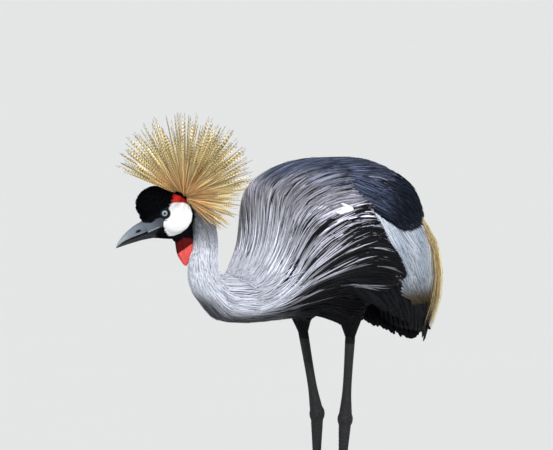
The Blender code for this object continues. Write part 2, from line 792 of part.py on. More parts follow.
def make_tail():
    """A short root with a fan of overlapping feathers."""
    root = ellipsoid("tail", Vector((0.196, 0, 0.432)), (Vector((1, 0, 0)), Vector((0, 1, 0)), UP),
                     (0.022, 0.026, 0.020), PARTS, 14, 8)
    down = Vector((0.46, 0, -0.89)).normalized()
    pieces = []
    for k in range(TAIL_VANES):
        share = 2 * (k + 0.5) / TAIL_VANES - 1
        fan = TAIL_SPREAD * share
        along = (down * math.cos(fan) + Vector((0, 1, 0)) * math.sin(fan)).normalized()
        face = Vector((-down.z, 0, down.x))
        start = Vector((0.198, 0.020 * share, 0.432)) + face * (0.0016 * ((TAIL_VANES - 1) / 2 - abs(k - (TAIL_VANES - 1) / 2)))
        side = along.cross(face).normalized()
        stations = []
        for place, half_width in ((0, 0.0045), (0.45, 0.0085), (0.88, 0.0080), (1.0, 0)):
            stations.append((start + along * (TAIL_LENGTH * place * (1 - 0.08 * abs(share))), side, face, half_width))
        pieces.append(face_out(mesh_object(f"rectrix_{k}", *vane_shape(stations), PARTS)))
    return root, pieces


def blend_rows(start, end, radii, steps):
    rows = []
    for k in range(steps + 1):
        t = k / steps
        centre = Vector(start).lerp(Vector(end), t)
        rows.append((*centre, value_at(radii, t)))
    return rows


def make_leg(side):
    sign = SIDES[side]
    hip, knee, ankle, foot = LEGS[side]
    thigh = tube(f"thigh_{side}", blend_rows(hip, knee, THIGH_RADII, 4), 12, PARTS)
    down = (Vector(ankle) - Vector(knee)).normalized()
    shank_top = Vector(knee) + down * 0.0006
    shank = tube(f"shank_{side}", blend_rows(shank_top, ankle, SHANK_RADII, 4), 10, PARTS)
    below = (Vector(foot) - Vector(ankle)).normalized()
    knob = ellipsoid("ankle", Vector(ankle), (Vector((1, 0, 0)), Vector((0, 1, 0)), UP),
                     ANKLE_SIZE, PARTS, 12, 8)
    fuse(shank, [knob])
    tarsus_end = Vector(foot) + Vector((0, 0, 0.006))
    tarsus = tube(f"tarsus_{side}", blend_rows(Vector(ankle) + below * 0.004, tarsus_end,
                                               TARSUS_RADII, 5), 10, PARTS)
    cut(tarsus, shank)
    pad = ellipsoid("pad", Vector(foot) - Vector((0, 0, 0.004)), (Vector((1, 0, 0)), Vector((0, 1, 0)), UP),
                    FOOT_PAD, PARTS, 12, 8)
    toes, claws = [], []
    for name, (turn, length, radius) in TOES.items():
        a = math.radians(turn * -sign)
        way = Vector((-math.cos(a), math.sin(a), 0))
        base = Vector((foot[0], foot[1], 0))
        rows = []
        for k in range(6):
            t = k / 5
            bulge = 1 + 0.14 * math.cos(t * 6 * math.pi)
            size = radius * (1 - 0.30 * t) * bulge
            height = size * 0.86 + 0.0035 * (1 - t) ** 3
            rows.append((*(base + way * (length * t) + UP * height), size))
        toe = tube(f"toe_{name}", rows, 7, PARTS, floor=0.0)
        tip = base + way * (length + 0.0004)
        size = radius * 0.62
        claw_rows = [(*(tip + way * (CLAW_LENGTH * t) + UP * (size * 0.95 + 0.0012 - 0.0018 * t * t)),
                      max(0.0004, size * 0.72 * (1 - t) ** 0.8)) for t in (0, 0.35, 0.7, 1)]
        claw = tube(f"claw_{name}_{side}", claw_rows, 6, PARTS, floor=0.0003)
        toes.append(toe)
        claws.append(claw)
    base_foot = pad
    base_foot.name = f"foot_{side}"
    for v in base_foot.data.vertices:
        v.co.z = max(v.co.z, 0.0)
    fuse(base_foot, toes)
    for claw in claws:
        cut(claw, base_foot)
    cut(tarsus, base_foot)
    return thigh, shank, tarsus, base_foot, claws


clear_scene()
RANDOM = random.Random(17)
GOLDEN_TURN = math.pi * (3 - math.sqrt(5))
PARTS = new_collection("grey_crowned_crane")
CUTTERS = new_collection("cutters")
CUTTERS.hide_render = True

TORSO = make_trunk()
NECK_NODES = make_neck()
NECK_LOWER, NECK_MIDDLE, NECK_UPPER = (NECK_NODES[name] for name in NECK_PARTS)
HEAD = make_head()
BILL_UPPER, BILL_LOWER = make_bill()
EYES = make_pair("eye", EYE_AT, (EYE_RADIUS,) * 3, 12, 8)
LIDS = {side: make_lid(side) for side in SIDES}
CHEEKS = make_pair("cheek", CHEEK_AT, CHEEK_SIZE, 14, 6)
REDS = make_pair("red_patch", RED_AT, RED_SIZE, 12, 6)
WATTLE = make_wattle()
WINGS = {side: make_wing(side) for side in SIDES}
TAIL, RECTRICES = make_tail()
LEG_NODES = {side: make_leg(side) for side in SIDES}

for side in SIDES:
    cut(HEAD, EYES[side], LIDS[side], CHEEKS[side], REDS[side])
    cut(REDS[side], CHEEKS[side], EYES[side], LIDS[side])
    cut(CHEEKS[side], EYES[side], LIDS[side])
    cut(LIDS[side], EYES[side])
cut(BILL_UPPER, HEAD)
cut(BILL_LOWER, HEAD)
cut(NECK_UPPER, HEAD, *CHEEKS.values())
cut(WATTLE, HEAD, NECK_UPPER, NECK_MIDDLE, *CHEEKS.values())
for side in SIDES:
    room = wing_room(side)
    cut(TORSO, room, gap=0)
    cut(TORSO, WINGS[side])
    bpy.data.objects.remove(room)
cut(NECK_LOWER, TORSO)
fuse(TAIL, RECTRICES)
cut(TAIL, TORSO, *WINGS.values())
for side in SIDES:
    cut(LEG_NODES[side][0], TORSO, WINGS[side])

for side in SIDES:
    fuse(WINGS[side], make_wing_feathers(side, WINGS[side], TORSO))
fuse(TORSO, make_mantle(TORSO, WINGS.values()))
fuse(NECK_LOWER, make_hackles(NECK_LOWER, TORSO))
CREST = make_crest_pad()
cut(CREST, *REDS.values(), *CHEEKS.values())
cut(HEAD, CREST)
cut(NECK_UPPER, CREST)
fuse(CREST, make_bristles([HEAD, NECK_UPPER, NECK_MIDDLE, TORSO, *CHEEKS.values(), *REDS.values()]))

COLOURS = {
    "torso": ((0.16, 0.18, 0.21), 0.75),
    "neck": ((0.45, 0.46, 0.50), 0.75),
    "head": ((0.012, 0.012, 0.014), 0.9),
    "cheek": ((0.85, 0.84, 0.82), 0.8),
    "red": ((0.62, 0.05, 0.03), 0.7),
    "eye": ((0.45, 0.55, 0.62), 0.12),
    "lid": ((0.05, 0.05, 0.06), 0.6),
    "bill": ((0.10, 0.11, 0.12), 0.45),
    "wattle": ((0.70, 0.07, 0.05), 0.6),
    "crest": ((0.62, 0.44, 0.18), 0.7),
    "wing": ((0.62, 0.62, 0.58), 0.75),
    "tail": ((0.020, 0.020, 0.024), 0.75),
    "thigh": ((0.03, 0.03, 0.035), 0.8),
    "shank": ((0.025, 0.025, 0.027), 0.6),
    "tarsus": ((0.025, 0.025, 0.027), 0.6),
    "foot": ((0.025, 0.025, 0.027), 0.65),
    "claw": ((0.015, 0.015, 0.015), 0.35),
}
for obj in PARTS.objects:
    colour, roughness = COLOURS[obj.name.split("_")[0]]
    obj.data.materials.clear()
    obj.data.materials.append(material(obj.name, colour, roughness))


def middle_of_base():
    """The shift that brings the middle of the bounding box, on the floor, to the origin."""
    points = [v.co for obj in PARTS.objects for v in obj.data.vertices]
    xs, ys = [p.x for p in points], [p.y for p in points]
    return Vector((-(min(xs) + max(xs)) / 2, -(min(ys) + max(ys)) / 2, 0))


SHIFT = middle_of_base()
for obj in PARTS.objects:
    obj.data.transform(Matrix.Translation(SHIFT))
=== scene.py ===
"""Looks of a grey crowned crane, a still life-size model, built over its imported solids.

Everything is made in the frame of the part's source, where the bird faces -X, its left side is
-Y and the floor is z = 0. At the end it is all moved to the row frame. Sizes are in metres.
"""

import math

import bmesh
import bpy
import numpy as np
from mathutils import Matrix, Vector
from mathutils.bvhtree import BVHTree


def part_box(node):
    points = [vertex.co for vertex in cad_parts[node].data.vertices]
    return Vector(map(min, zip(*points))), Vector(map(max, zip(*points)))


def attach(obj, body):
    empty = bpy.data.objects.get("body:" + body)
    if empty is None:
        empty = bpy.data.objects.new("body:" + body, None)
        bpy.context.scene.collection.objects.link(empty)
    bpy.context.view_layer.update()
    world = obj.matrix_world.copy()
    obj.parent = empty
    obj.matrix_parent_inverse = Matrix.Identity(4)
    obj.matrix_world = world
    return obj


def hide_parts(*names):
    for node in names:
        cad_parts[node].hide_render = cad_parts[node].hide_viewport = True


RNG = np.random.default_rng(41)
SIDES = {"left": -1, "right": 1}
UP = np.array((0.0, 0.0, 1.0))
GOLDEN_ANGLE = math.pi * (3 - math.sqrt(5))

# The photo's view: size, scale, direction, and the row of pixels where the floor is.
PHOTO_SIZE = (553, 450)
PIXEL = 0.00155
FLOOR_ROW = 553
CENTRE_COLUMN = 277.8
VIEW_TURN = math.radians(-36)
VIEW_RISE = math.radians(6)
VIEW_DISTANCE = 15.0
FILM_WIDTH = 36.0
VIEW_END = 200

# Trunk outline on the middle plane: back x and z, belly x and z, and half the width.
TRUNK = np.array([
    (-0.072, 0.424, -0.065, 0.362, 0.031),
    (-0.055, 0.449, -0.046, 0.361, 0.040),
    (-0.048, 0.492, -0.022, 0.361, 0.053),
    (-0.047, 0.540, 0.002, 0.362, 0.070),
    (-0.034, 0.578, 0.030, 0.364, 0.087),
    (0.016, 0.603, 0.060, 0.366, 0.100),
    (0.078, 0.610, 0.096, 0.369, 0.106),
    (0.140, 0.603, 0.132, 0.376, 0.104),
    (0.192, 0.582, 0.168, 0.392, 0.094),
    (0.232, 0.553, 0.200, 0.418, 0.074),
    (0.256, 0.515, 0.228, 0.452, 0.045),
])
TRUNK_SQUARENESS = 2.2
NECK_LENGTH = 0.217
# Neck centre line from the trunk to the head: x, y, z and radius.
NECK = np.array([
    (-0.0690, 0.0000, 0.3945, 0.0302),
    (-0.0880, -0.0010, 0.3965, 0.0280),
    (-0.1060, -0.0010, 0.4025, 0.0262),
    (-0.1245, 0.0000, 0.4150, 0.0252),
    (-0.1380, 0.0010, 0.4330, 0.0246),
    (-0.1410, 0.0020, 0.4580, 0.0222),
    (-0.1370, 0.0010, 0.4830, 0.0190),
    (-0.1370, 0.0020, 0.5060, 0.0182),
    (-0.1410, 0.0050, 0.5270, 0.0178),
    (-0.1490, 0.0095, 0.5440, 0.0165),
    (-0.1620, 0.0190, 0.5530, 0.0150),
])
# Wing barrel at a few heights: z, centre x, half length and half width.
WING_LEVELS = np.array([
    (0.310, 0.172, 0.104, 0.060),
    (0.350, 0.152, 0.134, 0.082),
    (0.385, 0.138, 0.156, 0.100),
    (0.425, 0.125, 0.169, 0.113),
    (0.470, 0.117, 0.168, 0.117),
    (0.515, 0.105, 0.153, 0.112),
    (0.560, 0.096, 0.138, 0.098),
    (0.600, 0.092, 0.115, 0.078),
])
WING_REAR, WING_FRONT = math.radians(3), math.radians(122)
WING_LOW = np.array([[0.324], [0.321], [0.325], [0.342], [0.372], [0.405]])
WING_HIGH = np.array([[0.522], [0.545], [0.560], [0.562], [0.550], [0.520]])

# The head's own axes: F along the bill, U to the crown, S to the bird's left cheek.
HEAD_AT = np.array((-0.1862, 0.0364, 0.5403))
HEAD_TURN, HEAD_PITCH = math.radians(36), math.radians(27)
HEAD_FLAT = np.array((-math.cos(HEAD_TURN), math.sin(HEAD_TURN), 0))
HEAD_F = HEAD_FLAT * math.cos(HEAD_PITCH) - UP * math.sin(HEAD_PITCH)
HEAD_U = HEAD_FLAT * math.sin(HEAD_PITCH) + UP * math.cos(HEAD_PITCH)
HEAD_S = np.array((-math.sin(HEAD_TURN), -math.cos(HEAD_TURN), 0))
HEAD_AXES = np.array((HEAD_F, HEAD_U, HEAD_S))
# Skull sections along F: place, top, bottom and half the width.
SKULL = np.array([
    (-0.0415, -0.008, -0.024, 0.0050),
    (-0.0385, -0.001, -0.031, 0.0105),
    (-0.0300, 0.0135, -0.0375, 0.0165),
    (-0.0180, 0.0270, -0.0420, 0.0195),
    (-0.0040, 0.0320, -0.0430, 0.0205),
    (0.0090, 0.0280, -0.0415, 0.0190),
    (0.0200, 0.0200, -0.0360, 0.0160),
    (0.0300, 0.0120, -0.0300, 0.0130),
    (0.0385, 0.0060, -0.0260, 0.0105),
])
CUSHION_AT, CUSHION_SIZE = (0.0102, 0.0212, 0), (0.0268, 0.0222, 0.0162)
BROW_AT, BROW_SIZE = (0.0200, 0.0118, 0), (0.0178, 0.0120, 0.0125)
CHEEK_AT, CHEEK_SIZE = (-0.0120, -0.0130, 0.0150), (0.0262, 0.0242, 0.0073)
THROAT_AT, THROAT_SIZE = (-0.0085, -0.0405, 0), (0.0190, 0.0130, 0.0105)
RED_AT, RED_SIZE = (-0.0215, 0.0135, 0.0135), (0.0130, 0.0090, 0.0063)
EYE_AT, EYE_RADIUS = (0.0015, 0.0, 0.0158), 0.0066
PUPIL_ANGLE, IRIS_ANGLE = math.radians(18), math.radians(47)
LID = [(0.0050, 0.0047), (0.0058, 0.0057), (0.0070, 0.0050), (0.0088, 0.0008), (0.0060, -0.0010)]
# Bill sections along F: place, culmen, mouth line, lower edge and half the width.
BILL = np.array([
    (0.0290, 0.0085, -0.0158, -0.0295, 0.0108),
    (0.0400, 0.0040, -0.0156, -0.0262, 0.0096),
    (0.0520, 0.0030, -0.0148, -0.0228, 0.0080),
    (0.0640, 0.0006, -0.0138, -0.0205, 0.0066),
    (0.0760, -0.0034, -0.0134, -0.0184, 0.0050),
    (0.0870, -0.0090, -0.0138, -0.0168, 0.0032),
    (0.0938, -0.0150, -0.0154, -0.0158, 0.0010),
])
NOSTRIL_AT, NOSTRIL_SIZE = (0.0512, -0.0075, 0.0082), (0.0052, 0.0022, 0.0034)
# Wattle sections: place, height, half the length and half the width.
WATTLE = np.array([
    (-0.0090, -0.0400, 0.0142, 0.0085),
    (-0.0065, -0.0517, 0.0147, 0.0084),
    (-0.0016, -0.0637, 0.0136, 0.0070),
    (0.0027, -0.0717, 0.0119, 0.0060),
    (0.0064, -0.0781, 0.0088, 0.0050),
    (0.0094, -0.0837, 0.0051, 0.0037),
    (0.0108, -0.0885, 0.0015, 0.0018),
])
# The top edge of the red on the wattle, as F and U from the eye.
WATTLE_TOP = np.array([(-0.0250, -0.0600), (-0.0210, -0.0575), (-0.0068, -0.0462), (0.0068, -0.0500),
                       (0.0150, -0.0560)])
# Outlines of the markings on the side of the head, as F and U, in the photo's measure.
CHEEK_LINE = [
    (-0.0087, 0.0067), (-0.0138, 0.0099), (-0.0196, 0.0087), (-0.0280, 0.0045), (-0.0353, 0.0000),
    (-0.0392, -0.0068), (-0.0380, -0.0186), (-0.0311, -0.0292), (-0.0199, -0.0364), (-0.0069, -0.0391),
    (0.0063, -0.0375), (0.0116, -0.0343), (0.0137, -0.0264), (0.0124, -0.0199), (0.0081, -0.0116),
    (0.0035, -0.0081), (-0.0043, -0.0063), (-0.0081, -0.0012),
]
RED_LINE = [
    (-0.0252, 0.0209), (-0.0189, 0.0154), (-0.0133, 0.0101), (-0.0196, 0.0087), (-0.0280, 0.0045),
    (-0.0353, 0.0000), (-0.0390, -0.0024), (-0.0360, 0.0067), (-0.0333, 0.0128), (-0.0287, 0.0174),
]
LORES_LINE = [
    (0.0385, 0.0021), (0.0275, -0.0038), (0.0169, -0.0013), (0.0066, -0.0036), (0.0049, -0.0074),
    (0.0081, -0.0116), (0.0115, -0.0168), (0.0194, -0.0158), (0.0291, -0.0162), (0.0600, -0.0165),
    (0.0600, 0.0100),
]
# The bare dark corner of the mouth, the same way.
GAPE_LINE = [(0.0185, -0.0160), (0.0380, -0.0290), (0.0600, -0.0300), (0.0600, -0.0155)]

CREST_AT = (-0.0350, 0.0065, 0)
CREST_PAD_AT, CREST_PAD = (-0.0310, 0.0060, 0), (0.0125, 0.0095, 0.0120)
CREST_LEAN, CREST_SPREAD = math.radians(33), math.radians(101)
CREST_NARROWER, CREST_LENGTH = 0.80, 0.134

# Legs: trunk end, bare shank top, ankle and foot joint of each, then the toes.
LEGS = {
    "left": [(0.103, -0.050, 0.395), (0.1030, -0.0485, 0.330), (0.1000, -0.0400, 0.206),
             (0.0860, -0.0400, 0.0130)],
    "right": [(0.078, 0.051, 0.395), (0.0850, 0.0485, 0.330), (0.1050, 0.0405, 0.206),
              (0.1040, 0.0410, 0.0130)],
}
THIGH_RADII = [[0.030], [0.020], [0.0095]]
SHANK_RADII = [[0.0078], [0.0070], [0.0072], [0.0105]]
TARSUS_RADII = [[0.0098], [0.0066], [0.0060], [0.0070]]
ANKLE_SIZE = (0.0125, 0.0110, 0.0150)
FOOT_PAD = (0.0115, 0.0100, 0.0112)
TOES = {"middle": (0, 0.080, 0.0058), "inner": (30, 0.060, 0.0053), "outer": (-32, 0.064, 0.0053),
        "hind": (176, 0.034, 0.0048)}
CLAW_LENGTH = 0.013

# Where the long grey feathers end on the wing, at heights of the flank and at places along the back.
FLANK_END = np.array([(0.360, 0.172), (0.410, 0.167), (0.436, 0.164), (0.458, 0.152), (0.484, 0.131),
                      (0.516, 0.1140), (0.543, 0.0970)])
CAP_END = np.array([(0.108, 0.543), (0.123, 0.531), (0.137, 0.518), (0.146, 0.510), (0.169, 0.503),
                    (0.189, 0.503), (0.217, 0.508), (0.226, 0.517), (0.262, 0.530)])
# The small white spot in the flank, along x and z, its feathers' half width and their height.
WINDOW_AT = (0.0470, 0.5530)
WINDOW_SIZE = (0.0210, 0.0090)
WINDOW_HALF, WINDOW_RAISED = 0.0028, 0.0034

# Colours, as linear light.
NECK_GREY = np.array((0.62, 0.64, 0.73))
# The neck's grey made paler: painted light, for the sunlit middle of the neck.
NECK_LIT = np.array((0.86, 0.90, 1.0))
MANTLE_GREY = np.array((0.235, 0.235, 0.275))
SLATE = np.array((0.046, 0.058, 0.098))
BLACK = np.array((0.0050, 0.0053, 0.0070))
WHITE = np.array((0.70, 0.77, 0.86))
WHITE_SHADE = np.array((0.40, 0.48, 0.61))
OCHRE = np.array((0.36, 0.25, 0.11))
STRAW = np.array((0.84, 0.74, 0.43))
CAP_DARK = np.array((0.008, 0.0115, 0.020))
RED = np.array((0.62, 0.030, 0.026))
# The wattle's red where the sun falls on it: painted light, below the painted shadow of the head.
RED_LIT = np.array((0.80, 0.105, 0.095))
CHALK = np.array((0.85, 0.85, 0.86))
BILL_GREY = np.array((0.135, 0.155, 0.190))
LIP_GREY = np.array((0.38, 0.41, 0.45))
# The crest's golds go above 1, brighter than a real colour: painted light that lifts the dense bristles out
# of their own shade.
CREST_ROOT = np.array((1.45, 0.98, 0.46))
CREST_TIP = np.array((1.10, 0.96, 0.54))
# Colours that the materials themselves hold.
STRAND_BROWN = (0.22, 0.13, 0.055)
IRIS_DARK, IRIS_PALE, IRIS_RIM = (0.12, 0.22, 0.30), (0.44, 0.56, 0.62), (0.05, 0.08, 0.10)
PUPIL_BLACK = (0.003, 0.003, 0.004)
LEG_DARK, LEG_PALE, LEG_DUST = (0.006, 0.006, 0.007), (0.014, 0.014, 0.016), (0.075, 0.072, 0.068)

# Where each region of the skin lies on its unwrap: corner and size.
ATLAS = {
    "trunk": (0.01, 0.01, 0.48, 0.56), "neck": (0.01, 0.60, 0.28, 0.38), "head": (0.31, 0.60, 0.30, 0.38),
    "wing_left": (0.51, 0.01, 0.23, 0.42), "wing_right": (0.76, 0.01, 0.23, 0.42),
    "crest": (0.63, 0.60, 0.18, 0.38), "thigh_left": (0.83, 0.45, 0.16, 0.14),
    "thigh_right": (0.83, 0.61, 0.16, 0.14), "tail": (0.83, 0.77, 0.16, 0.21),
}
# How wide each feather's own patch is on the unwrap, round its root's place.
PATCH = 0.003

# How many feathers each piece starts with, before those that don't fit are left out.
COUNTS = {
    "mantle": 8400, "back": 1100, "belly": 1560, "collar": 1500, "neck": 6900, "hood": 15000, "flight": 150,
    "coverts": 3900, "plumes": 460, "cap": 520, "streaks": 620, "window": 22, "thigh": 1300, "tail": 12,
    "crest_long": 820, "crest_short": 900,
}
# Thickness of a vane; metres along the trunk for one share of its length; the area for one such share and
# one radian at which no root is thinned out; rounds that smooth a feather's stations; how many times its
# usual pace a feather may go; the least share of its length that one may keep; and tries that a bristle
# may take to get clear.
VANE_THICK = 0.00025
TRUNK_LENGTH = 0.26
ROOT_AREA = 0.085
ROW_ROUNDS = 2
UNEVEN = 2.4
SHORTEST = 0.30
CLEAR_TRIES = 8
# How long the crest's bristles are, by their lean in degrees from front to back.
CREST_OUTLINE = np.array([(-97, 0.56), (-79, 0.66), (-57, 0.72), (-35, 0.90), (-12, 0.95), (3, 0.99),
                          (33, 1.0), (68, 1.0), (101, 0.90)])

# How the parts of the skin are grown together: voxel size and rounds of smoothing.
GROUND_MELT, HEAD_MELT, LEG_MELT = (0.0034, 10), (0.0007, 3), (0.00075, 1)
# How far the skin lies below the ground that feathers are laid on.
SKIN_DEPTH = 0.0016
# Rings of the tarsus and toes, the pitch of the plates on them, and corners of an eyelid's ring.
TARSUS_ROWS, TOE_ROWS = 190, 80
PLATE_PITCH, SCUTE_PITCH = 0.0062, 0.0042
LID_SIDES = 64

# Materials: fineness of the grains.
SKIN_GRAIN, HORN_GRAIN = 900.0, 260.0
GRAIN_ROUGHNESS = 0.55

# The studio: half the floor, its colour, the sky's light and colour, and each lamp's name, strength,
# width in degrees and way along back, right and up.
FLOOR_REACH = 40
FLOOR_COLOUR = (0.76, 0.76, 0.75)
SKY_COLOUR, SKY_LIGHT = (0.93, 0.96, 1.0, 1), 0.40
LAMPS = (("key", 2.75, 5, (0.85, 0.42, 0.80)), ("fill", 0.68, 60, (0.8, -0.6, 0.3)))


# Numbers and curves

def unit(vectors):
    return vectors / np.maximum(np.linalg.norm(vectors, axis=-1, keepdims=True), 1e-12)


def spline(rows, t):
    """A smooth curve through the rows, at each t from 0 to 1."""
    rows = np.asarray(rows, float)
    t = np.asarray(t, float)
    place = np.clip(t, 0, 1) * (len(rows) - 1)
    i = np.minimum(place.astype(int), len(rows) - 2)
    f = (place - i)[..., None]
    p, q, r, s = (rows[np.clip(i + k, 0, len(rows) - 1)] for k in (-1, 0, 1, 2))
    return 0.5 * (2 * q + (r - p) * f + (2 * p - 5 * q + 4 * r - s) * f ** 2
                  + (3 * q - p - 3 * r + s) * f ** 3)


def step(low, high, x):
    """0 below low, 1 above high and smooth between."""
    f = np.clip((x - low) / (high - low), 0, 1)
    return f * f * (3 - 2 * f)


def mix(a, b, f):
    f = np.asarray(f)[..., None]
    return np.asarray(a) * (1 - f) + np.asarray(b) * f


def noise(points, scale, seed=0):
    """A smooth random field, about -1 to 1, as a sum of seeded waves."""
    rng = np.random.default_rng(seed)
    total = 0
    for _ in range(7):
        way = rng.normal(size=points.shape[-1])
        total = total + np.sin(points @ way * (2 * math.pi / scale) * 0.5 + rng.uniform(0, 6.28))
    return total / 3.5


def scatter(count, weight):
    """Evenly spread places in the unit square, thinned by a weight from 0 to 1."""
    ratio = 1.2207440846
    found = np.zeros((0, 2))
    start = 1
    while len(found) < count:
        k = np.arange(start, start + 4 * count)[:, None]
        spots = (0.5 + k * np.array([1 / ratio, 1 / ratio ** 2, 1 / ratio ** 3])) % 1
        kept = spots[spots[:, 2] < weight(spots[:, 0], spots[:, 1])]
        found = np.concatenate([found, kept[:, :2]])
        start += 4 * count
    return found[:count].T


def unthinned(a, b):
    """The weight that keeps every place."""
    return 0 * a + 1


def superellipse(angle, squareness):
    power = 2 / squareness
    c, s = np.cos(angle), np.sin(angle)
    return np.copysign(np.abs(c) ** power, c), np.copysign(np.abs(s) ** power, s)


def trunk_at(t, angle):
    """Points of the trunk at t, which may pass the end, with 0 for the back and + for the right side."""
    inner = np.clip(t, 0, 1)
    rows = spline(TRUNK, inner)
    top = np.stack([rows[..., 0], 0 * inner, rows[..., 1]], -1)
    low = np.stack([rows[..., 2], 0 * inner, rows[..., 3]], -1)
    c, s = superellipse(angle, TRUNK_SQUARENESS)
    way = (top - low) / 2 * c[..., None]
    way[..., 1] += rows[..., 4] * s
    point = (top + low) / 2 + way
    beyond = np.maximum(t - 1, 0)
    if np.any(beyond > 0):
        ahead = trunk_at(np.ones_like(t), angle)[0] - trunk_at(np.full_like(t, 0.96), angle)[0]
        point = point + ahead / 0.04 * beyond[..., None]
    way = unit(way)
    return point, way


def neck_axes(t):
    rows = spline(NECK, t)
    step_size = 0.01
    along = unit(spline(NECK, t + step_size)[..., :3] - spline(NECK, t - step_size)[..., :3])
    side = unit(np.array((0.0, 1.0, 0.0)) - along * along[..., 1:2])
    return rows[..., :3], rows[..., 3], along, side, np.cross(along, side)


def neck_at(t, angle):
    """Points of the neck, which runs on straight into the trunk below t = 0."""
    centre, radius, along, side, third = neck_axes(np.clip(t, 0, 1))
    way = side * np.cos(angle)[..., None] + third * np.sin(angle)[..., None]
    below = np.minimum(t, 0) * 0.30
    return centre + along * below[..., None] + way * radius[..., None], way


def wing_at(sign, angle, z, out=0.0):
    rows = [np.interp(z, WING_LEVELS[:, 0], WING_LEVELS[:, k]) for k in (1, 2, 3)]
    centre, half_length, half_width = rows
    way = np.stack([np.cos(angle) / half_length, sign * np.sin(angle) / half_width, 0 * z], -1)
    way = unit(way)
    place = np.stack([centre + half_length * np.cos(angle), sign * half_width * np.sin(angle), z], -1)
    return place + way * np.asarray(out)[..., None], way


def wing_grid(sign, p, q, out):
    low, high = spline(WING_LOW, p)[..., 0] + 0.012, spline(WING_HIGH, p)[..., 0]
    return wing_at(sign, WING_REAR + (WING_FRONT - WING_REAR) * p, low + (high - low) * q, out)[0]


def head_point(place):
    return HEAD_AT + np.asarray(place) @ HEAD_AXES


def head_place(points):
    return (points - HEAD_AT) @ HEAD_AXES.T


def line_distance(f, u, line):
    """Distance to a closed outline, less than 0 inside it."""
    points = np.stack([f, u], -1)
    best = np.full(f.shape, 1e9)
    inside = np.zeros(f.shape, bool)
    for a, b in zip(line, line[1:] + line[:1]):
        a, b = np.array(a), np.array(b)
        share = np.clip(((points - a) @ (b - a)) / ((b - a) @ (b - a)), 0, 1)
        best = np.minimum(best, np.linalg.norm(points - a - share[..., None] * (b - a), axis=-1))
        crosses = (a[1] > u) != (b[1] > u)
        height = b[1] - a[1] if abs(b[1] - a[1]) > 1e-9 else 1e-9
        inside ^= crosses & (f < (b[0] - a[0]) * (u - a[1]) / height + a[0])
    return np.where(inside, -best, best)


# Meshes

def linked(name, data):
    """A new object of the scene that holds the data."""
    made = bpy.data.objects.new(name, data)
    bpy.context.scene.collection.objects.link(made)
    return made


def smoothed(obj):
    obj.data.polygons.foreach_set("use_smooth", np.ones(len(obj.data.polygons), bool))
    return obj


def object_from(name, points, faces):
    data = bpy.data.meshes.new(name)
    if isinstance(faces, np.ndarray):
        size = faces.shape[1]
        data.vertices.add(len(points))
        data.vertices.foreach_set("co", np.asarray(points, np.float32).ravel())
        data.loops.add(faces.size)
        data.loops.foreach_set("vertex_index", faces.astype(np.int32).ravel())
        data.polygons.add(len(faces))
        data.polygons.foreach_set("loop_start", np.arange(0, faces.size, size, dtype=np.int32))
        data.update(calc_edges=True)
    else:
        data.from_pydata([tuple(p) for p in points], [], faces)
    return smoothed(linked(name, data))


def points_of(obj):
    co = np.empty(len(obj.data.vertices) * 3, np.float32)
    obj.data.vertices.foreach_get("co", co)
    return co.reshape(-1, 3).astype(float)


def normals_of(obj):
    found = np.empty(len(obj.data.vertices) * 3, np.float32)
    obj.data.vertex_normals.foreach_get("vector", found)
    return found.reshape(-1, 3).astype(float)


def set_points(obj, points):
    obj.data.vertices.foreach_set("co", np.asarray(points, np.float32).ravel())
    obj.data.update()


def face_out(obj):
    shape = bmesh.new()
    shape.from_mesh(obj.data)
    bmesh.ops.recalc_face_normals(shape, faces=shape.faces)
    if shape.calc_volume(signed=True) < 0:
        bmesh.ops.reverse_faces(shape, faces=shape.faces)
    shape.to_mesh(obj.data)
    shape.free()
    return obj


def loft(name, rings):
    """A closed body through rings of equally many points, with a fan over each end."""
    rings = np.asarray(rings)
    rows, count = rings.shape[:2]
    points = np.concatenate([rings.reshape(-1, 3), rings[:1].mean(1), rings[-1:].mean(1)])
    faces = []
    for r in range(rows - 1):
        for k in range(count):
            a, b = r * count + k, r * count + (k + 1) % count
            faces.append((a, b, b + count, a + count))
    last = (rows - 1) * count
    for k in range(count):
        faces.append(((k + 1) % count, k, rows * count))
        faces.append((last + k, last + (k + 1) % count, rows * count + 1))
    return face_out(object_from(name, points, faces))


def round_angles(sides):
    return 2 * math.pi * np.arange(sides) / sides


def ring_of(centre, right, up, half_right, half_up, sides, squareness=2.0):
    c, s = superellipse(round_angles(sides), squareness)
    return np.asarray(centre) + np.outer(c * half_up, up) + np.outer(s * half_right, right)


def tube(name, rows, sides, floor=None, relief=None):
    """A round body along rows of x, y, z and radius. relief gives more radius by row and angle."""
    rows = np.asarray(rows, float)
    along = unit(np.gradient(rows[:, :3], axis=0))
    angle = round_angles(sides)
    side, rings = None, []
    for i, row in enumerate(rows):
        if side is None:
            side = unit(np.cross(along[0], (0, 1, 0) if abs(along[0][1]) < 0.9 else UP))
        side = unit(side - along[i] * (side @ along[i]))
        third = np.cross(along[i], side)
        radius = row[3] + (relief(i, angle) if relief else 0)
        ring = row[:3] + np.outer(np.cos(angle) * radius, side) + np.outer(np.sin(angle) * radius, third)
        if floor is not None:
            ring[:, 2] = np.maximum(ring[:, 2], floor)
        rings.append(ring)
    return loft(name, rings)


def ellipsoid(name, centre, axes, sizes, segments=48, rings=32):
    data = bpy.data.meshes.new(name)
    shape = bmesh.new()
    bmesh.ops.create_uvsphere(shape, u_segments=segments, v_segments=rings, radius=1)
    shape.to_mesh(data)
    shape.free()
    made = linked(name, data)
    set_points(made, np.asarray(centre) + (points_of(made) * sizes) @ np.asarray(axes))
    return face_out(made)


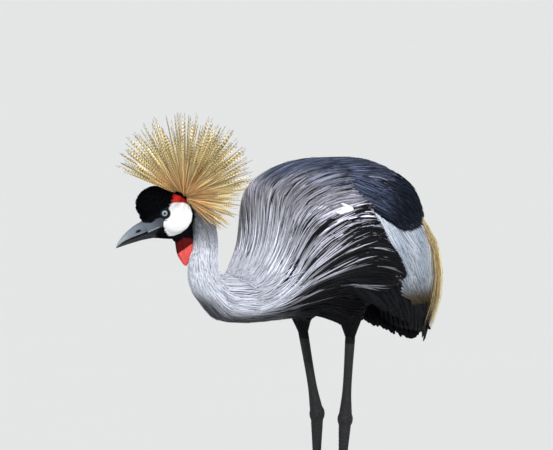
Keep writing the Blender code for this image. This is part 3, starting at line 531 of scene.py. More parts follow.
def shell(name, outer, inner, steps_p, steps_q):
    """A closed plate between two surfaces given as functions of p and q."""
    p, q = np.meshgrid(np.linspace(0, 1, steps_p + 1), np.linspace(0, 1, steps_q + 1), indexing="ij")
    points = np.concatenate([surface(p, q).reshape(-1, 3) for surface in (outer, inner)])
    row, layer = steps_q + 1, (steps_p + 1) * (steps_q + 1)
    faces = []
    for i in range(steps_p):
        for j in range(steps_q):
            a, b, c, d = i * row + j, (i + 1) * row + j, (i + 1) * row + j + 1, i * row + j + 1
            faces += [(a, b, c, d), (layer + a, layer + d, layer + c, layer + b)]
    edge = [i * row for i in range(steps_p + 1)]
    edge += [steps_p * row + j for j in range(1, steps_q + 1)]
    edge += [i * row + steps_q for i in range(steps_p - 1, -1, -1)]
    edge += [j for j in range(steps_q - 1, 0, -1)]
    faces += [(a, layer + a, layer + b, b) for a, b in zip(edge, edge[1:] + edge[:1])]
    return face_out(object_from(name, points, faces))


def apply_modifiers(obj):
    graph = bpy.context.evaluated_depsgraph_get()
    data = bpy.data.meshes.new_from_object(obj.evaluated_get(graph))
    obj.modifiers.clear()
    obj.data = data


def joined(name, parts):
    """One object that holds the parts, which are removed."""
    shape = bmesh.new()
    for part in parts:
        shape.from_mesh(part.data)
        bpy.data.objects.remove(part)
    data = bpy.data.meshes.new(name)
    shape.to_mesh(data)
    shape.free()
    return linked(name, data)


def melted(name, parts, voxel, rounds):
    """The parts grown together as one smooth surface."""
    made = joined(name, parts)
    remesh = made.modifiers.new("melt", "REMESH")
    remesh.mode = "VOXEL"
    remesh.voxel_size = voxel
    smooth = made.modifiers.new("soften", "SMOOTH")
    smooth.factor = 0.5
    smooth.iterations = rounds
    apply_modifiers(made)
    keep_largest(made)
    return made


def keep_largest(obj):
    shape = bmesh.new()
    shape.from_mesh(obj.data)
    left, groups = set(shape.verts), []
    while left:
        stack, group = [left.pop()], []
        while stack:
            v = stack.pop()
            group.append(v)
            for edge in v.link_edges:
                other = edge.other_vert(v)
                if other in left:
                    left.discard(other)
                    stack.append(other)
        groups.append(group)
    groups.sort(key=len)
    for group in groups[:-1]:
        bmesh.ops.delete(shape, geom=group, context="VERTS")
    shape.to_mesh(obj.data)
    shape.free()


def combine(obj, others):
    """Adds the others to the object, as one closed body."""
    for other in others:
        change = obj.modifiers.new("combine", "BOOLEAN")
        change.operation = "UNION"
        change.object = other
        change.solver = "MANIFOLD"
        apply_modifiers(obj)
        bpy.data.objects.remove(other)


def tree_of(obj):
    data = obj.data
    return BVHTree.FromPolygons([v.co for v in data.vertices], [tuple(f.vertices) for f in data.polygons])


def settle(tree, points, ways, reach=0.02):
    """The spots of the surface nearest to points, looked for from outside, and the way out there."""
    flat = (points + ways * reach).reshape(-1, 3)
    hits = [tree.find_nearest(Vector(p))[:2] for p in flat]
    places = np.array([hit[0] for hit in hits]).reshape(points.shape)
    ways = np.array([hit[1] for hit in hits]).reshape(points.shape)
    return places, ways


def smooth_rows(values):
    for _ in range(ROW_ROUNDS):
        padded = np.concatenate([values[:, :1], values, values[:, -1:]], 1)
        values = (padded[:, :-2] + 2 * padded[:, 1:-1] + padded[:, 2:]) / 4
    return values


def atlas(region, a, b):
    """The places on the skin's unwrap of roots given by two shares of a region."""
    x, y, width, height = ATLAS[region]
    return np.stack([x + np.clip(a, 0, 1) * width, y + np.clip(b, 0, 1) * height], -1)


def add_colours(obj, colours):
    layer = obj.data.color_attributes.new("tint", "FLOAT_COLOR", "POINT")
    alpha = np.ones((len(colours), 1))
    layer.data.foreach_set("color", np.concatenate([colours, alpha], 1).astype(np.float32).ravel())


def add_value(obj, name, values):
    layer = obj.data.attributes.new(name, "FLOAT", "POINT")
    layer.data.foreach_set("value", np.asarray(values, np.float32).ravel())


def add_map(obj, name, corners):
    layer = obj.data.uv_layers.new(name=name)
    layer.data.foreach_set("uv", np.asarray(corners, np.float32).ravel())


def strands(name, mids, ups, sides, tints, homes, material, sections):
    """Many closed tapered bodies in one mesh. sections gives each section's points across and up."""
    n, s = mids.shape[:2]
    along = unit(np.gradient(mids, axis=1))
    across = unit(np.cross(along, ups))
    up = np.cross(across, along)
    x, y = sections[..., 0], sections[..., 1]
    points = mids[:, :, None] + across[:, :, None] * x[..., None] + up[:, :, None] * y[..., None]
    grids = np.meshgrid(np.arange(s - 1), np.arange(sides), indexing="ij")
    station, corner = (grid.ravel() for grid in grids)
    ahead = (corner + 1) % sides
    cells = np.stack([station * sides + corner, station * sides + ahead,
                      (station + 1) * sides + ahead, (station + 1) * sides + corner], -1)
    shares = np.stack([corner, corner + 1, corner + 1, corner], -1) / sides
    lengths = np.stack([station, station, station + 1, station + 1], -1) / (s - 1)
    first = np.arange(sides)[::-1]
    ends = np.array([first, first[::-1] + (s - 1) * sides])
    end_shares = np.array([first, first[::-1]]) / sides
    end_lengths = np.repeat([[0.0], [1.0]], sides, 1)
    if sides == 3:
        cells, shares, lengths = (np.concatenate([a[:, :3], a[:, [0, 2, 3]]])
                                  for a in (cells, shares, lengths))
    cells = np.concatenate([cells, ends])
    shares = np.concatenate([shares, end_shares])
    lengths = np.concatenate([lengths, end_lengths])
    faces = (cells[None] + (np.arange(n) * s * sides)[:, None, None]).reshape(-1, cells.shape[1])
    made = object_from(name, points.reshape(-1, 3), faces)
    vane = np.stack([shares, lengths], -1)
    add_map(made, "Vane", np.broadcast_to(vane, (n, *vane.shape)))
    local = (vane - 0.5) * PATCH
    add_map(made, "OFBake", homes[:, None, None] + local[None])
    add_colours(made, np.broadcast_to(tints[:, :, None], (n, s, sides, 3)).reshape(-1, 3))
    add_value(made, "seed", np.repeat(RNG.random(n), s * sides))
    made.data.materials.append(material)
    return made


def vanes(name, mids, ups, halves, tints, homes, material, droop=0.22):
    """Feathers with a raised middle, whose edges bend down towards what they lie on."""
    flat = np.zeros_like(halves)
    left = np.stack([-halves, -halves * droop], -1)
    deep = np.minimum(VANE_THICK, 0.16 * halves)
    ridge = np.stack([flat, deep], -1)
    right = np.stack([halves, -halves * droop], -1)
    keel = np.stack([flat, -deep], -1)
    sections = np.stack([left, ridge, right, keel], 2)
    return strands(name, mids, ups, 4, tints, homes, material, sections)


def bristles(name, mids, ups, radii, tints, homes, material):
    """Thin three-sided spines that end in a point."""
    angle = round_angles(3)
    sections = np.stack([radii[..., None] * np.cos(angle), radii[..., None] * np.sin(angle)], -1)
    return strands(name, mids, ups, 3, tints, homes, material, sections)


# Materials

class Shader:
    """A node material, made by short calls."""

    def __init__(self, name, roughness=0.7, **sockets):
        self.material = bpy.data.materials.new(name)
        self.material.use_nodes = True
        self.tree = self.material.node_tree
        self.surface = self.tree.nodes["Principled BSDF"]
        self.surface.inputs["Roughness"].default_value = roughness
        for socket, value in sockets.items():
            self.surface.inputs[socket.replace("_", " ")].default_value = value

    def feed(self, socket, value):
        if isinstance(value, bpy.types.NodeSocket):
            self.tree.links.new(value, socket)
        elif value is not None:
            socket.default_value = value

    def node(self, kind, inputs=(), out=0, **settings):
        made = self.tree.nodes.new(kind)
        for key, value in settings.items():
            setattr(made, key, value)
        for key, value in dict(inputs).items():
            self.feed(made.inputs[key], value)
        return made.outputs[out]

    def math(self, operation, *values):
        return self.node("ShaderNodeMath", enumerate(values), operation=operation)

    def attribute(self, name, out="Fac"):
        return self.node("ShaderNodeAttribute", out=out, attribute_name=name)

    def ramp(self, value, stops):
        made = self.tree.nodes.new("ShaderNodeValToRGB")
        made.color_ramp.interpolation = "EASE"
        while len(made.color_ramp.elements) < len(stops):
            made.color_ramp.elements.new(0.5)
        for element, (place, colour) in zip(made.color_ramp.elements, stops):
            element.position = place
            element.color = (*colour, 1) if hasattr(colour, "__len__") else (colour, colour, colour, 1)
        self.feed(made.inputs[0], value)
        return made.outputs[0]

    def blend(self, factor, a, b):
        made = self.tree.nodes.new("ShaderNodeMix")
        made.data_type = "RGBA"
        for key, value in ((0, factor), (6, a), (7, b)):
            value = (*value, 1) if isinstance(value, tuple) and len(value) == 3 else value
            self.feed(made.inputs[key], value)
        return made.outputs[2]

    def noise(self, vector, scale, detail=3.0):
        return self.node("ShaderNodeTexNoise", {"Vector": vector, "Scale": scale, "Detail": detail,
                                                "Roughness": GRAIN_ROUGHNESS})

    def bump(self, height, strength, distance=0.001):
        normal = self.node("ShaderNodeBump", {"Height": height, "Strength": strength, "Distance": distance})
        self.feed(self.surface.inputs["Normal"], normal)

    def remap(self, value, low, high, start=0.0, end=1.0):
        return self.node("ShaderNodeMapRange", {0: value, 1: low, 2: high, 3: start, 4: end})

    def colour(self, value):
        self.feed(self.surface.inputs["Base Color"], value)
        return self.material

    def tinted(self, value):
        """The tint that the points carry, times a value."""
        tint = self.attribute("tint", "Color")
        return self.colour(self.node("ShaderNodeVectorMath", {0: tint, "Scale": value}, operation="SCALE"))


def scaled(shader, x, y):
    """The feather's own map, stretched so that a noise on it runs as barbs, and then the plain map."""
    vane = shader.node("ShaderNodeUVMap", uv_map="Vane")
    seed = shader.attribute("seed")
    spread = shader.math("MULTIPLY", seed, 37.0)
    made = shader.node("ShaderNodeMapping", {"Vector": vane, "Scale": (x, y, 1)})
    offset = shader.node("ShaderNodeCombineXYZ", {0: spread, 1: spread, 2: spread})
    return shader.node("ShaderNodeVectorMath", {0: made, 1: offset}, operation="ADD"), vane


def feather_material(name, shaft=0.5, edge=0.35, root=0.55, barbs=0.35, roughness=0.72, gloss=0.2):
    """A vane with a pale shaft and edges, a darker root and fine barbs. Numbers are shares of the tint."""
    shader = Shader(name, roughness, Specular_IOR_Level=gloss)
    grain, vane = scaled(shader, 9.0, 46.0)
    split = shader.node("ShaderNodeSeparateXYZ", {0: vane})
    along = split.node.outputs[1]
    around = shader.math("MULTIPLY", split.node.outputs[0], 2 * math.pi)
    across = shader.math("ABSOLUTE", shader.math("COSINE", around))
    middle = shader.math("SUBTRACT", 1.0, across)
    line = shader.math("POWER", middle, 5.0)
    rim = shader.math("POWER", across, 5.0)
    barb = shader.noise(grain, 1.0)
    dark = shader.ramp(along, [(0.0, root), (0.45, 0.92), (1.0, 1.0)])
    light = shader.math("ADD", shader.math("MULTIPLY", line, shaft), shader.math("MULTIPLY", rim, edge))
    light = shader.math("MULTIPLY", light, shader.ramp(along, [(0.0, 0.0), (0.35, 1.0), (1.0, 0.8)]))
    value = shader.math("ADD", 1.0, light)
    value = shader.math("MULTIPLY", value, dark)
    change = shader.math("MULTIPLY", shader.math("SUBTRACT", barb, 0.5), barbs * 2)
    value = shader.math("MULTIPLY", value, shader.math("ADD", 1.0, change))
    shader.bump(barb, 0.35, 0.0004)
    return shader.tinted(value)


def bristle_material():
    """Straw bristles twisted from a pale and a brown strand."""
    shader = Shader("crest_bristle", 0.6, Specular_IOR_Level=0.3)
    vane = shader.node("ShaderNodeUVMap", uv_map="Vane")
    split = shader.node("ShaderNodeSeparateXYZ", {0: vane})
    along = split.node.outputs[1]
    seed = shader.attribute("seed")
    turns = shader.math("ADD", shader.math("MULTIPLY", along, 21.0), split.node.outputs[0])
    turns = shader.math("ADD", turns, shader.math("MULTIPLY", seed, 0.35))
    wave = shader.math("SINE", shader.math("MULTIPLY", turns, 2 * math.pi))
    strand = shader.remap(wave, -0.65, -0.15)
    tint = shader.attribute("tint", "Color")
    brown = shader.node("ShaderNodeVectorMath", {0: tint, 1: STRAND_BROWN}, operation="MULTIPLY")
    colour = shader.blend(strand, brown, tint)
    shader.bump(wave, 0.5, 0.0005)
    return shader.colour(colour)


def skin_material():
    """Skin in the tint that its points carry, with fine grain."""
    shader = Shader("bare_skin", 0.7, Specular_IOR_Level=0.10)
    place = shader.node("ShaderNodeNewGeometry")
    grain = shader.noise(place, SKIN_GRAIN, 4.0)
    pebble = shader.node("ShaderNodeTexVoronoi", {"Vector": place, "Scale": SKIN_GRAIN * 0.55})
    wrinkle = shader.attribute("wrinkle")
    height = shader.math("ADD", grain, shader.math("MULTIPLY", pebble, wrinkle))
    shader.bump(height, 0.3, 0.0006)
    return shader.tinted(shader.math("ADD", 0.94, shader.math("MULTIPLY", grain, 0.12)))


def scale_material():
    """Dark scaly leg skin: small cells, with the larger plates in the shape itself."""
    shader = Shader("leg_scales", 0.55, Specular_IOR_Level=0.25)
    place = shader.node("ShaderNodeNewGeometry")
    cells = shader.node("ShaderNodeTexVoronoi", {"Vector": place, "Scale": 420.0}, feature="DISTANCE_TO_EDGE")
    edge = shader.remap(cells, 0.0, 0.14)
    grain = shader.noise(place, 300.0)
    shader.bump(edge, 0.55, 0.0005)
    colour = shader.blend(edge, LEG_DARK, LEG_PALE)
    dust = shader.remap(grain, 0.45, 0.8, 0.0, 0.22)
    return shader.colour(shader.blend(dust, colour, LEG_DUST))


def horn_material(name, roughness):
    shader = Shader(name, roughness, Specular_IOR_Level=0.25)
    place = shader.node("ShaderNodeNewGeometry")
    grain = shader.noise(place, HORN_GRAIN, 5.0)
    fine = shader.noise(place, HORN_GRAIN * 5, 2.0)
    shader.bump(shader.math("ADD", grain, shader.math("MULTIPLY", fine, 0.4)), 0.22, 0.0005)
    return shader.tinted(shader.math("ADD", 0.72, shader.math("MULTIPLY", grain, 0.56)))


def eye_material():
    shader = Shader("eye_wet", 0.22, Coat_Weight=1.0, Coat_Roughness=0.02)
    ring = shader.attribute("ring")
    place = shader.node("ShaderNodeNewGeometry")
    spokes = shader.noise(place, 700.0, 4.0)
    iris = shader.blend(spokes, IRIS_DARK, IRIS_PALE)
    rim = shader.remap(ring, IRIS_ANGLE - 0.20, IRIS_ANGLE)
    iris = shader.blend(rim, iris, IRIS_RIM)
    hole = shader.remap(ring, PUPIL_ANGLE - 0.03, PUPIL_ANGLE + 0.04, 1.0, 0.0)
    return shader.colour(shader.blend(hole, iris, PUPIL_BLACK))


def plain_material(name, colour, roughness):
    shader = Shader(name, roughness)
    place = shader.node("ShaderNodeNewGeometry")
    grain = shader.noise(place, 3.0)
    near = tuple(c * 0.985 for c in colour)
    return shader.colour(shader.blend(grain, near, colour))


# The skin

def rings_of(surface, rows, sides):
    """Rings of a surface that is given by a share of its length and an angle."""
    t, angle = np.meshgrid(np.linspace(0, 1, rows), round_angles(sides), indexing="ij")
    return list(surface(t, angle)[0])


def body_parts():
    parts = []
    rings = rings_of(trunk_at, 60, 64)
    last, middle = rings[-1], rings[-1].mean(0)
    for share, ahead in ((0.86, 0.005), (0.55, 0.009), (0.2, 0.011)):
        rings.append(middle + (last - middle) * share + np.array((ahead, 0, ahead * 0.2)))
    parts.append(loft("trunk", rings))
    rings = rings_of(neck_at, 70, 40)
    inner = neck_at(np.full(40, -0.10), round_angles(40))[0]
    parts.append(loft("neck", [inner] + rings))
    for side, sign in SIDES.items():
        parts.append(shell("wing", lambda p, q: wing_grid(sign, p, 0.16 + 0.84 * q, 0 * p),
                           lambda p, q: wing_grid(sign, p, 0.16 + 0.84 * q, 0 * p - 0.010), 40, 20))
        hip, knee = (np.array(place) for place in LEGS[side][:2])
        share = np.linspace(0, 1, 24)
        rows = np.concatenate([hip + (knee - hip) * share[:, None], spline(THIGH_RADII, share)], 1)
        parts.append(tube("thigh", rows, 32))
    parts.append(ellipsoid("tail_root", (0.196, 0, 0.432), np.eye(3), (0.022, 0.026, 0.020)))
    return parts


def head_loft(name, rows, sides, squareness):
    """A body through sections along the head's F: place, top, bottom and half the width."""
    rings = []
    for f, top, low, half in rows:
        centre = head_point((f, (top + low) / 2, 0))
        rings.append(ring_of(centre, HEAD_S, HEAD_U, half, (top - low) / 2, sides, squareness))
    return loft(name, rings)


def head_parts():
    parts = [head_loft("skull", spline(SKULL, np.linspace(0, 1, 48)), 56, 2.1)]
    for place, size in ((CUSHION_AT, CUSHION_SIZE), (BROW_AT, BROW_SIZE), (THROAT_AT, THROAT_SIZE),
                        (CREST_PAD_AT, CREST_PAD)):
        parts.append(ellipsoid("swelling", head_point(place), HEAD_AXES, size))
    for sign in (-1, 1):
        for place, size in ((CHEEK_AT, CHEEK_SIZE), (RED_AT, RED_SIZE)):
            f, u, s = place
            parts.append(ellipsoid("patch", head_point((f, u, sign * s)), HEAD_AXES, size))
        parts.append(lid_ring(sign))
    return parts


def lid_ring(sign):
    f, u, s = EYE_AT
    a = round_angles(LID_SIDES)
    rings = []
    for reach, height in LID:
        rings.append(head_point(np.stack([f + reach * np.cos(a), u + reach * 0.93 * np.sin(a),
                                          np.full(LID_SIDES, sign * (s + height))], -1)))
    rings = np.array(rings)
    size = len(LID)
    faces = []
    for j in range(size):
        here, there = j * LID_SIDES, (j + 1) % size * LID_SIDES
        for k in range(LID_SIDES):
            after = (k + 1) % LID_SIDES
            faces.append((here + k, here + after, there + after, there + k))
    return face_out(object_from("lid", rings.reshape(-1, 3), faces))


def wattle_part():
    rings = []
    for t in np.linspace(0, 1, 60):
        f, u, half_long, half_wide = spline(WATTLE, t)
        angle = round_angles(96)
        fold = 1 + 0.13 * math.sin(math.pi * min(1, t * 1.1)) * np.sin(8 * angle + 2.2 * math.sin(5 * t))
        fold += 0.03 * np.sin(21 * angle + 9 * t)
        c, s = np.cos(angle) * half_long * fold, np.sin(angle) * half_wide * fold
        rings.append(head_point((f, u, 0)) + np.outer(c, HEAD_FLAT) + np.outer(s, HEAD_S))
    return loft("wattle", rings)


def leg_parts(side):
    sign = SIDES[side]
    _, knee, ankle, foot = (np.array(place) for place in LEGS[side])
    share = np.linspace(-0.06, 1, 90)
    radii = spline(SHANK_RADII, np.clip(share, 0, 1))
    shank = np.concatenate([knee + (ankle - knee) * share[:, None], radii], 1)
    end = foot + np.array((0, 0, 0.004))
    share = np.linspace(0, 1, TARSUS_ROWS)
    tarsus = np.concatenate([ankle + (end - ankle) * share[:, None], spline(TARSUS_RADII, share)], 1)
    length = np.linalg.norm(end - ankle)

    def plates(i, angle):
        place = i / (TARSUS_ROWS - 1) * length
        band = np.abs(math.sin(math.pi * place / PLATE_PITCH)) ** 0.35
        front = np.clip(-np.cos(angle) * 1.6 + 0.2, 0, 1)
        return (band - 0.7) * 0.0006 * front

    parts = [tube("shank", shank, 28), tube("tarsus", tarsus, 28, relief=plates)]
    parts.append(ellipsoid("ankle", ankle, np.eye(3), ANKLE_SIZE))
    parts.append(ellipsoid("pad", foot - np.array((0, 0, 0.004)), np.eye(3), FOOT_PAD))
    pad = points_of(parts[-1])
    pad[:, 2] = np.maximum(pad[:, 2], 0)
    set_points(parts[-1], pad)
    for turn, length_of, radius in TOES.values():
        rows = toe_rows(foot, sign, turn, length_of, radius)

        def scutes(i, angle, span=length_of):
            place = i / (TOE_ROWS - 1) * span
            band = abs(math.sin(math.pi * place / SCUTE_PITCH)) ** 0.4
            return (band - 0.7) * 0.0005 * np.ones_like(angle)

        parts.append(tube("toe", rows, 24, floor=0.0, relief=scutes))
    return parts


def toe_way(sign, turn):
    a = math.radians(turn * -sign)
    return np.array((-math.cos(a), math.sin(a), 0))


def toe_rows(foot, sign, turn, length, radius):
    way = toe_way(sign, turn)
    base = np.array((foot[0], foot[1], 0))
    rows = []
    for t in np.linspace(0, 1, TOE_ROWS):
        size = radius * (1 - 0.30 * t) * (1 + 0.12 * math.cos(t * 6 * math.pi))
        size *= math.sqrt(max(0.05, 1 - max(0, (t - 0.94) / 0.062) ** 2))
        height = radius * (1 - 0.30 * t) * 0.86 + 0.0035 * (1 - t) ** 3
        rows.append((*(base + way * (length * t) + UP * height), size))
    return rows


def make_claws(side):
    sign = SIDES[side]
    foot = LEGS[side][3]
    parts = []
    for turn, length, radius in TOES.values():
        way = toe_way(sign, turn)
        tip = np.array((foot[0], foot[1], 0)) + way * (length - 0.002)
        size = radius * 0.62
        rows = []
        for t in np.linspace(0, 1, 24):
            height = size * 0.95 + 0.0020 + 0.0012 * math.sin(math.pi * t) - 0.0042 * t * t
            rows.append((*(tip + way * ((CLAW_LENGTH + 0.0024) * t) + UP * height),
                         max(0.0003, size * 0.80 * (1 - t) ** 0.75)))
        parts.append(tube("claw", rows, 20, floor=0.0003))
    made = joined(f"claws_{side}", parts)
    smoothed(made)
    add_colours(made, np.tile((0.014, 0.014, 0.016), (len(made.data.vertices), 1)))
    made.data.materials.append(MATERIALS["claw"])
    return made


def past_flank(x, z):
    """How far a place is behind the end of the long grey feathers."""
    return x - np.interp(z, FLANK_END[:, 0], FLANK_END[:, 1])


def cap_edge(x):
    """The height at which the dark back's feathers end."""
    return np.interp(x, CAP_END[:, 0], CAP_END[:, 1])


def body_tint(points):
    """The skin's colour below the coat, with painted shade where it shows between the long feathers and low
    under the belly.
    """
    # Painted shade: the skin under the long feathers is a dark grey, as the shade in the gaps between them.
    dark = np.tile(MANTLE_GREY * 0.22, (len(points), 1))
    tint = mix(dark, NECK_GREY * 0.8, step(-0.070, -0.090, points[:, 0]))
    tint = mix(tint, WHITE * 0.95, white_zone(points))
    # Painted shade: black low under the belly, for the underside in shade.
    tint = mix(tint, BLACK, step(0.405, 0.385, points[:, 2]) * step(-0.03, 0.03, points[:, 0]))
    return tint


def white_zone(points):
    """1 where the white part of the wing shows, behind the grey feathers and below the dark back."""
    x, z = points[..., 0], points[..., 2]
    behind = step(-0.001, 0.001, past_flank(x, z))
    below = step(0.001, -0.001, z - cap_edge(x))
    return behind * below


def head_marks(points):
    """How much of each marking covers points of the head, from their place on its axes."""
    f, u, s = head_place(points).T
    across = np.interp(-u, -WATTLE[:, 1], WATTLE[:, 0]), np.interp(-u, -WATTLE[:, 1], WATTLE[:, 2])
    f, u = f - EYE_AT[0], u - EYE_AT[1]
    beside = step(0.004, 0.007, np.abs(s))
    wobble = 0.0003 * noise(points, 0.004, 5)
    cheek = step(0.0004, -0.0004, line_distance(f, u, CHEEK_LINE) + wobble) * beside
    red = step(0.0004, -0.0004, line_distance(f, u, RED_LINE) + wobble) * beside * (1 - cheek)
    lores = step(0.0008, -0.0008, line_distance(f, u, LORES_LINE) + wobble) * (1 - cheek)
    gape = step(0.0006, -0.0006, line_distance(f, u, GAPE_LINE)) * (1 - cheek)
    eye = step(0.0094, 0.0086, np.hypot(f, u)) * beside
    top = np.interp(f, WATTLE_TOP[:, 0], WATTLE_TOP[:, 1]) + 2 * wobble
    wattle = step(0.0008, -0.0008, u - top) * (np.abs(f + EYE_AT[0] - across[0]) < across[1] * 1.35 + 0.004)
    return cheek, red, lores, gape, eye, wattle


def head_tint(points):
    cheek, red, lores, gape, eye, wattle = head_marks(points)
    place = head_place(points)
    tint = mix(np.tile(BLACK, (len(points), 1)), NECK_GREY * 0.6, behind_band(points))
    f, u = place[:, 0] - EYE_AT[0], place[:, 1] - EYE_AT[1]
    tint = mix(tint, BILL_GREY * (0.42 + 0.58 * step(0.008, 0.034, f))[:, None], lores)
    tint = mix(tint, LIP_GREY, step(0.0020, 0.0010, line_distance(f, u, GAPE_LINE)) * lores * 0.8)
    tint = mix(tint, BILL_GREY * 0.12, gape)
    tint = mix(tint, CHALK * (0.98 + 0.02 * noise(points, 0.008, 3))[:, None], cheek)
    shade = (1 + 0.14 * noise(points, 0.004, 4))[:, None]
    # Painted light and shadow: the wattle is a dark red above this line, where the head's shadow falls, and a
    # bright red below it, where the sun falls.
    low = step(-0.0005, 0.0005, -0.0640 - place[:, 1] - 0.15 * place[:, 0])
    tint = mix(tint, RED * shade, red)
    tint = mix(tint, mix((0.090, 0.003, 0.003), RED_LIT * 0.9, low) * shade, wattle)
    return mix(tint, (0.010, 0.011, 0.014), eye)


def behind_band(points):
    """1 where the head is grey again, past the narrow black band round the cheek."""
    f, u, _ = head_place(points).T
    f, u = f - EYE_AT[0], u - EYE_AT[1]
    band = np.interp(u, (-0.050, -0.030, 0.0, 0.02), (0.014, 0.0040, 0.0042, 0.010))
    away = np.minimum(line_distance(f, u, CHEEK_LINE), line_distance(f, u, RED_LINE)) - band
    return step(0.0, 0.0022, away + 0.0006 * noise(points, 0.005, 6)) * step(-0.022, -0.030, f)


def shape_ground(ground):
    """Draws the trunk in under its feathers, and fits its shoulder and rump to the photo's outline."""
    points = points_of(ground)
    x, z = points[:, 0], points[:, 2]
    points = points - normals_of(ground) * (0.0030 * step(-0.100, -0.060, x))[:, None]
    shoulder = np.interp(z, (0.415, 0.431, 0.440, 0.450, 0.460, 0.475, 0.492, 0.540, 0.585),
                         (-0.018, -0.0275, -0.024, -0.0127, -0.007, 0.001, 0.0065, 0.0060, 0.0))
    points[:, 0] += shoulder * step(-0.112, -0.098, x) * step(0.06, -0.03, x)
    points[:, 2] += 0.0105 * step(0.10, 0.19, x) * step(0.285, 0.235, x) * step(0.49, 0.55, z)
    points[:, 2] += 0.0025 * step(0.385, 0.370, z) * step(0.05, 0.0, x)
    set_points(ground, points)


def make_skin():
    ground = melted("ground", body_parts(), *GROUND_MELT)
    shape_ground(ground)
    body = joined("skin", [ground])
    tree = tree_of(body)
    set_points(body, points_of(body) - normals_of(body) * SKIN_DEPTH)
    head = melted("head_skin", head_parts() + [wattle_part()], *HEAD_MELT)
    head_tree = tree_of(head)
    combine(body, [head] + [melted("leg_skin", leg_parts(side), *LEG_MELT) for side in SIDES])
    keep_largest(body)
    smoothed(body)
    points = points_of(body)
    f, u, s = head_place(points).T
    near = (np.abs(s) < 0.030) & (np.abs(f) < 0.046) & (u > -0.093) & (u < 0.06)
    on_head = near & (np.linalg.norm(head_tree_offset(head_tree, points, near), axis=1) < 0.0006)
    tint = body_tint(points)
    tint[on_head] = head_tint(points[on_head])
    legs = (points[:, 2] < 0.325) & ~((points[:, 0] > 0.115) & (points[:, 2] > 0.24))
    tint[legs] = (0.012, 0.012, 0.013)
    add_colours(body, tint)
    _, red, _, _, _, wattle = head_marks(points)
    add_value(body, "wrinkle", np.where(on_head, np.maximum(red, wattle) * 0.9, 0))
    body.data.materials.clear()
    for key in ("skin", "scales"):
        body.data.materials.append(MATERIALS[key])
    leg_faces = legs[np.array([f.vertices[0] for f in body.data.polygons])]
    body.data.polygons.foreach_set("material_index", leg_faces.astype(np.int32))
    body.data.update()
    return body, tree, head_tree


def head_tree_offset(tree, points, chosen):
    offset = np.ones_like(points)
    for i in np.flatnonzero(chosen):
        offset[i] = np.array(tree.find_nearest(Vector(points[i]))[0]) - points[i]
    return offset


# The coat

# A feather's stations: share of its length, width, and lift over the ground.
LANCE = np.array([(0.0, 0.45, -0.0030), (0.16, 0.85, -0.0002), (0.38, 1.0, 0.0012), (0.62, 0.85, 0.0020),
                  (0.84, 0.46, 0.0025), (1.0, 0.05, 0.0027)])
BROAD = np.array([(0.0, 0.35, -0.0030), (0.18, 0.80, -0.0002), (0.45, 1.0, 0.0010), (0.72, 0.98, 0.0017),
                  (0.92, 0.70, 0.0020), (1.0, 0.20, 0.0021)])
TUFT = np.array([(0.0, 0.8, -0.0012), (0.35, 1.0, 0.0004), (0.72, 0.7, 0.0009), (1.0, 0.08, 0.0011)])
COVERT = np.array([(0.0, 0.6, -0.0012), (0.3, 1.0, 0.0002), (0.7, 0.75, 0.0005), (1.0, 0.08, 0.0005)])
PLUME = np.array([(0.0, 0.4, -0.0025), (0.10, 0.8, 0.0008), (0.24, 1.0, 0.0020), (0.40, 0.9, 0.0028),
                  (0.56, 0.8, 0.0033), (0.72, 0.6, 0.0036), (0.87, 0.4, 0.0037), (1.0, 0.06, 0.0038)])


def lay(name, tree, path, shape, half, tint, homes, material, raised=0.0, shares=None, droop=0.22,
        reach=0.02):
    """Feathers along paths over the ground, or free where tree is None. path gives points and ways out.

    A feather that a fold of the ground pulls uneven is left out.
    """
    count = len(half)
    if shares is None:
        shares = np.ones(count)
    spots, normals = path(shape[None, :, 0] * shares[:, None])
    if tree:
        spots, normals = settle(tree, spots, normals, reach)
        normals = unit(smooth_rows(normals))
        spots[:, 1:-1] = smooth_rows(spots)[:, 1:-1]
    pace = np.linalg.norm(np.diff(spots, axis=1), axis=2) / np.diff(shape[:, 0])
    even = pace.max(1) < UNEVEN * np.median(pace, axis=1)
    raised = np.broadcast_to(np.asarray(raised, float).reshape(-1, 1), (count, 1))
    lift = shape[None, :, 2] + raised * np.minimum(1, shape[None, :, 0] * 4)
    mids = spots + normals * lift[..., None]
    tints = np.broadcast_to(tint[:, None] if tint.ndim == 2 else tint, (count, len(shape), 3))
    mids, normals, tints, homes = (a[even] for a in (mids, normals, tints, homes))
    halves = half[even, None] * shape[None, :, 1]
    return vanes(name, mids, normals, halves, tints, homes, material, droop=droop)


def trunk_roots(count, low, high, widest):
    """Even places on the trunk between two shares of its length and out to an angle, as t and angle."""
    def weight(a, b):
        t, angle = low + (high - low) * a, widest * (2 * b - 1)
        p = trunk_at(t, angle)[0]
        dt, da = trunk_at(t + 0.01, angle)[0] - p, trunk_at(t, angle + 0.01)[0] - p
        area = np.linalg.norm(np.cross(dt, da), axis=-1) / 1e-4
        return area / ROOT_AREA
    a, b = scatter(count, weight)
    return low + (high - low) * a, widest * (2 * b - 1)


def stream(t, angle):
    """How far the long feathers have turned off the trunk's length.

    They go up over the flank, then down at its border.
    """
    turn = np.abs(np.degrees(angle))
    off = np.interp(t, (0.28, 0.56, 0.64, 0.72, 0.82), (0.0, -0.27, -0.28, -0.20, 0.02))
    return np.sign(angle) * off * step(22, 50, turn) * step(128, 104, turn)


def trunk_path(t, angle, length, swerve):
    pace = np.linalg.norm(trunk_at(t + 0.02, angle)[0] - trunk_at(t, angle)[0], axis=-1) / 0.02
    reach = length / np.maximum(pace, 0.12)

    def path(shares):
        ahead = t[:, None] + reach[:, None] * shares
        start = np.broadcast_to(angle[:, None], ahead.shape)
        turned = stream(ahead, start) - stream(t, angle)[:, None]
        return trunk_at(ahead, start + turned + swerve[:, None] * shares)
    return path


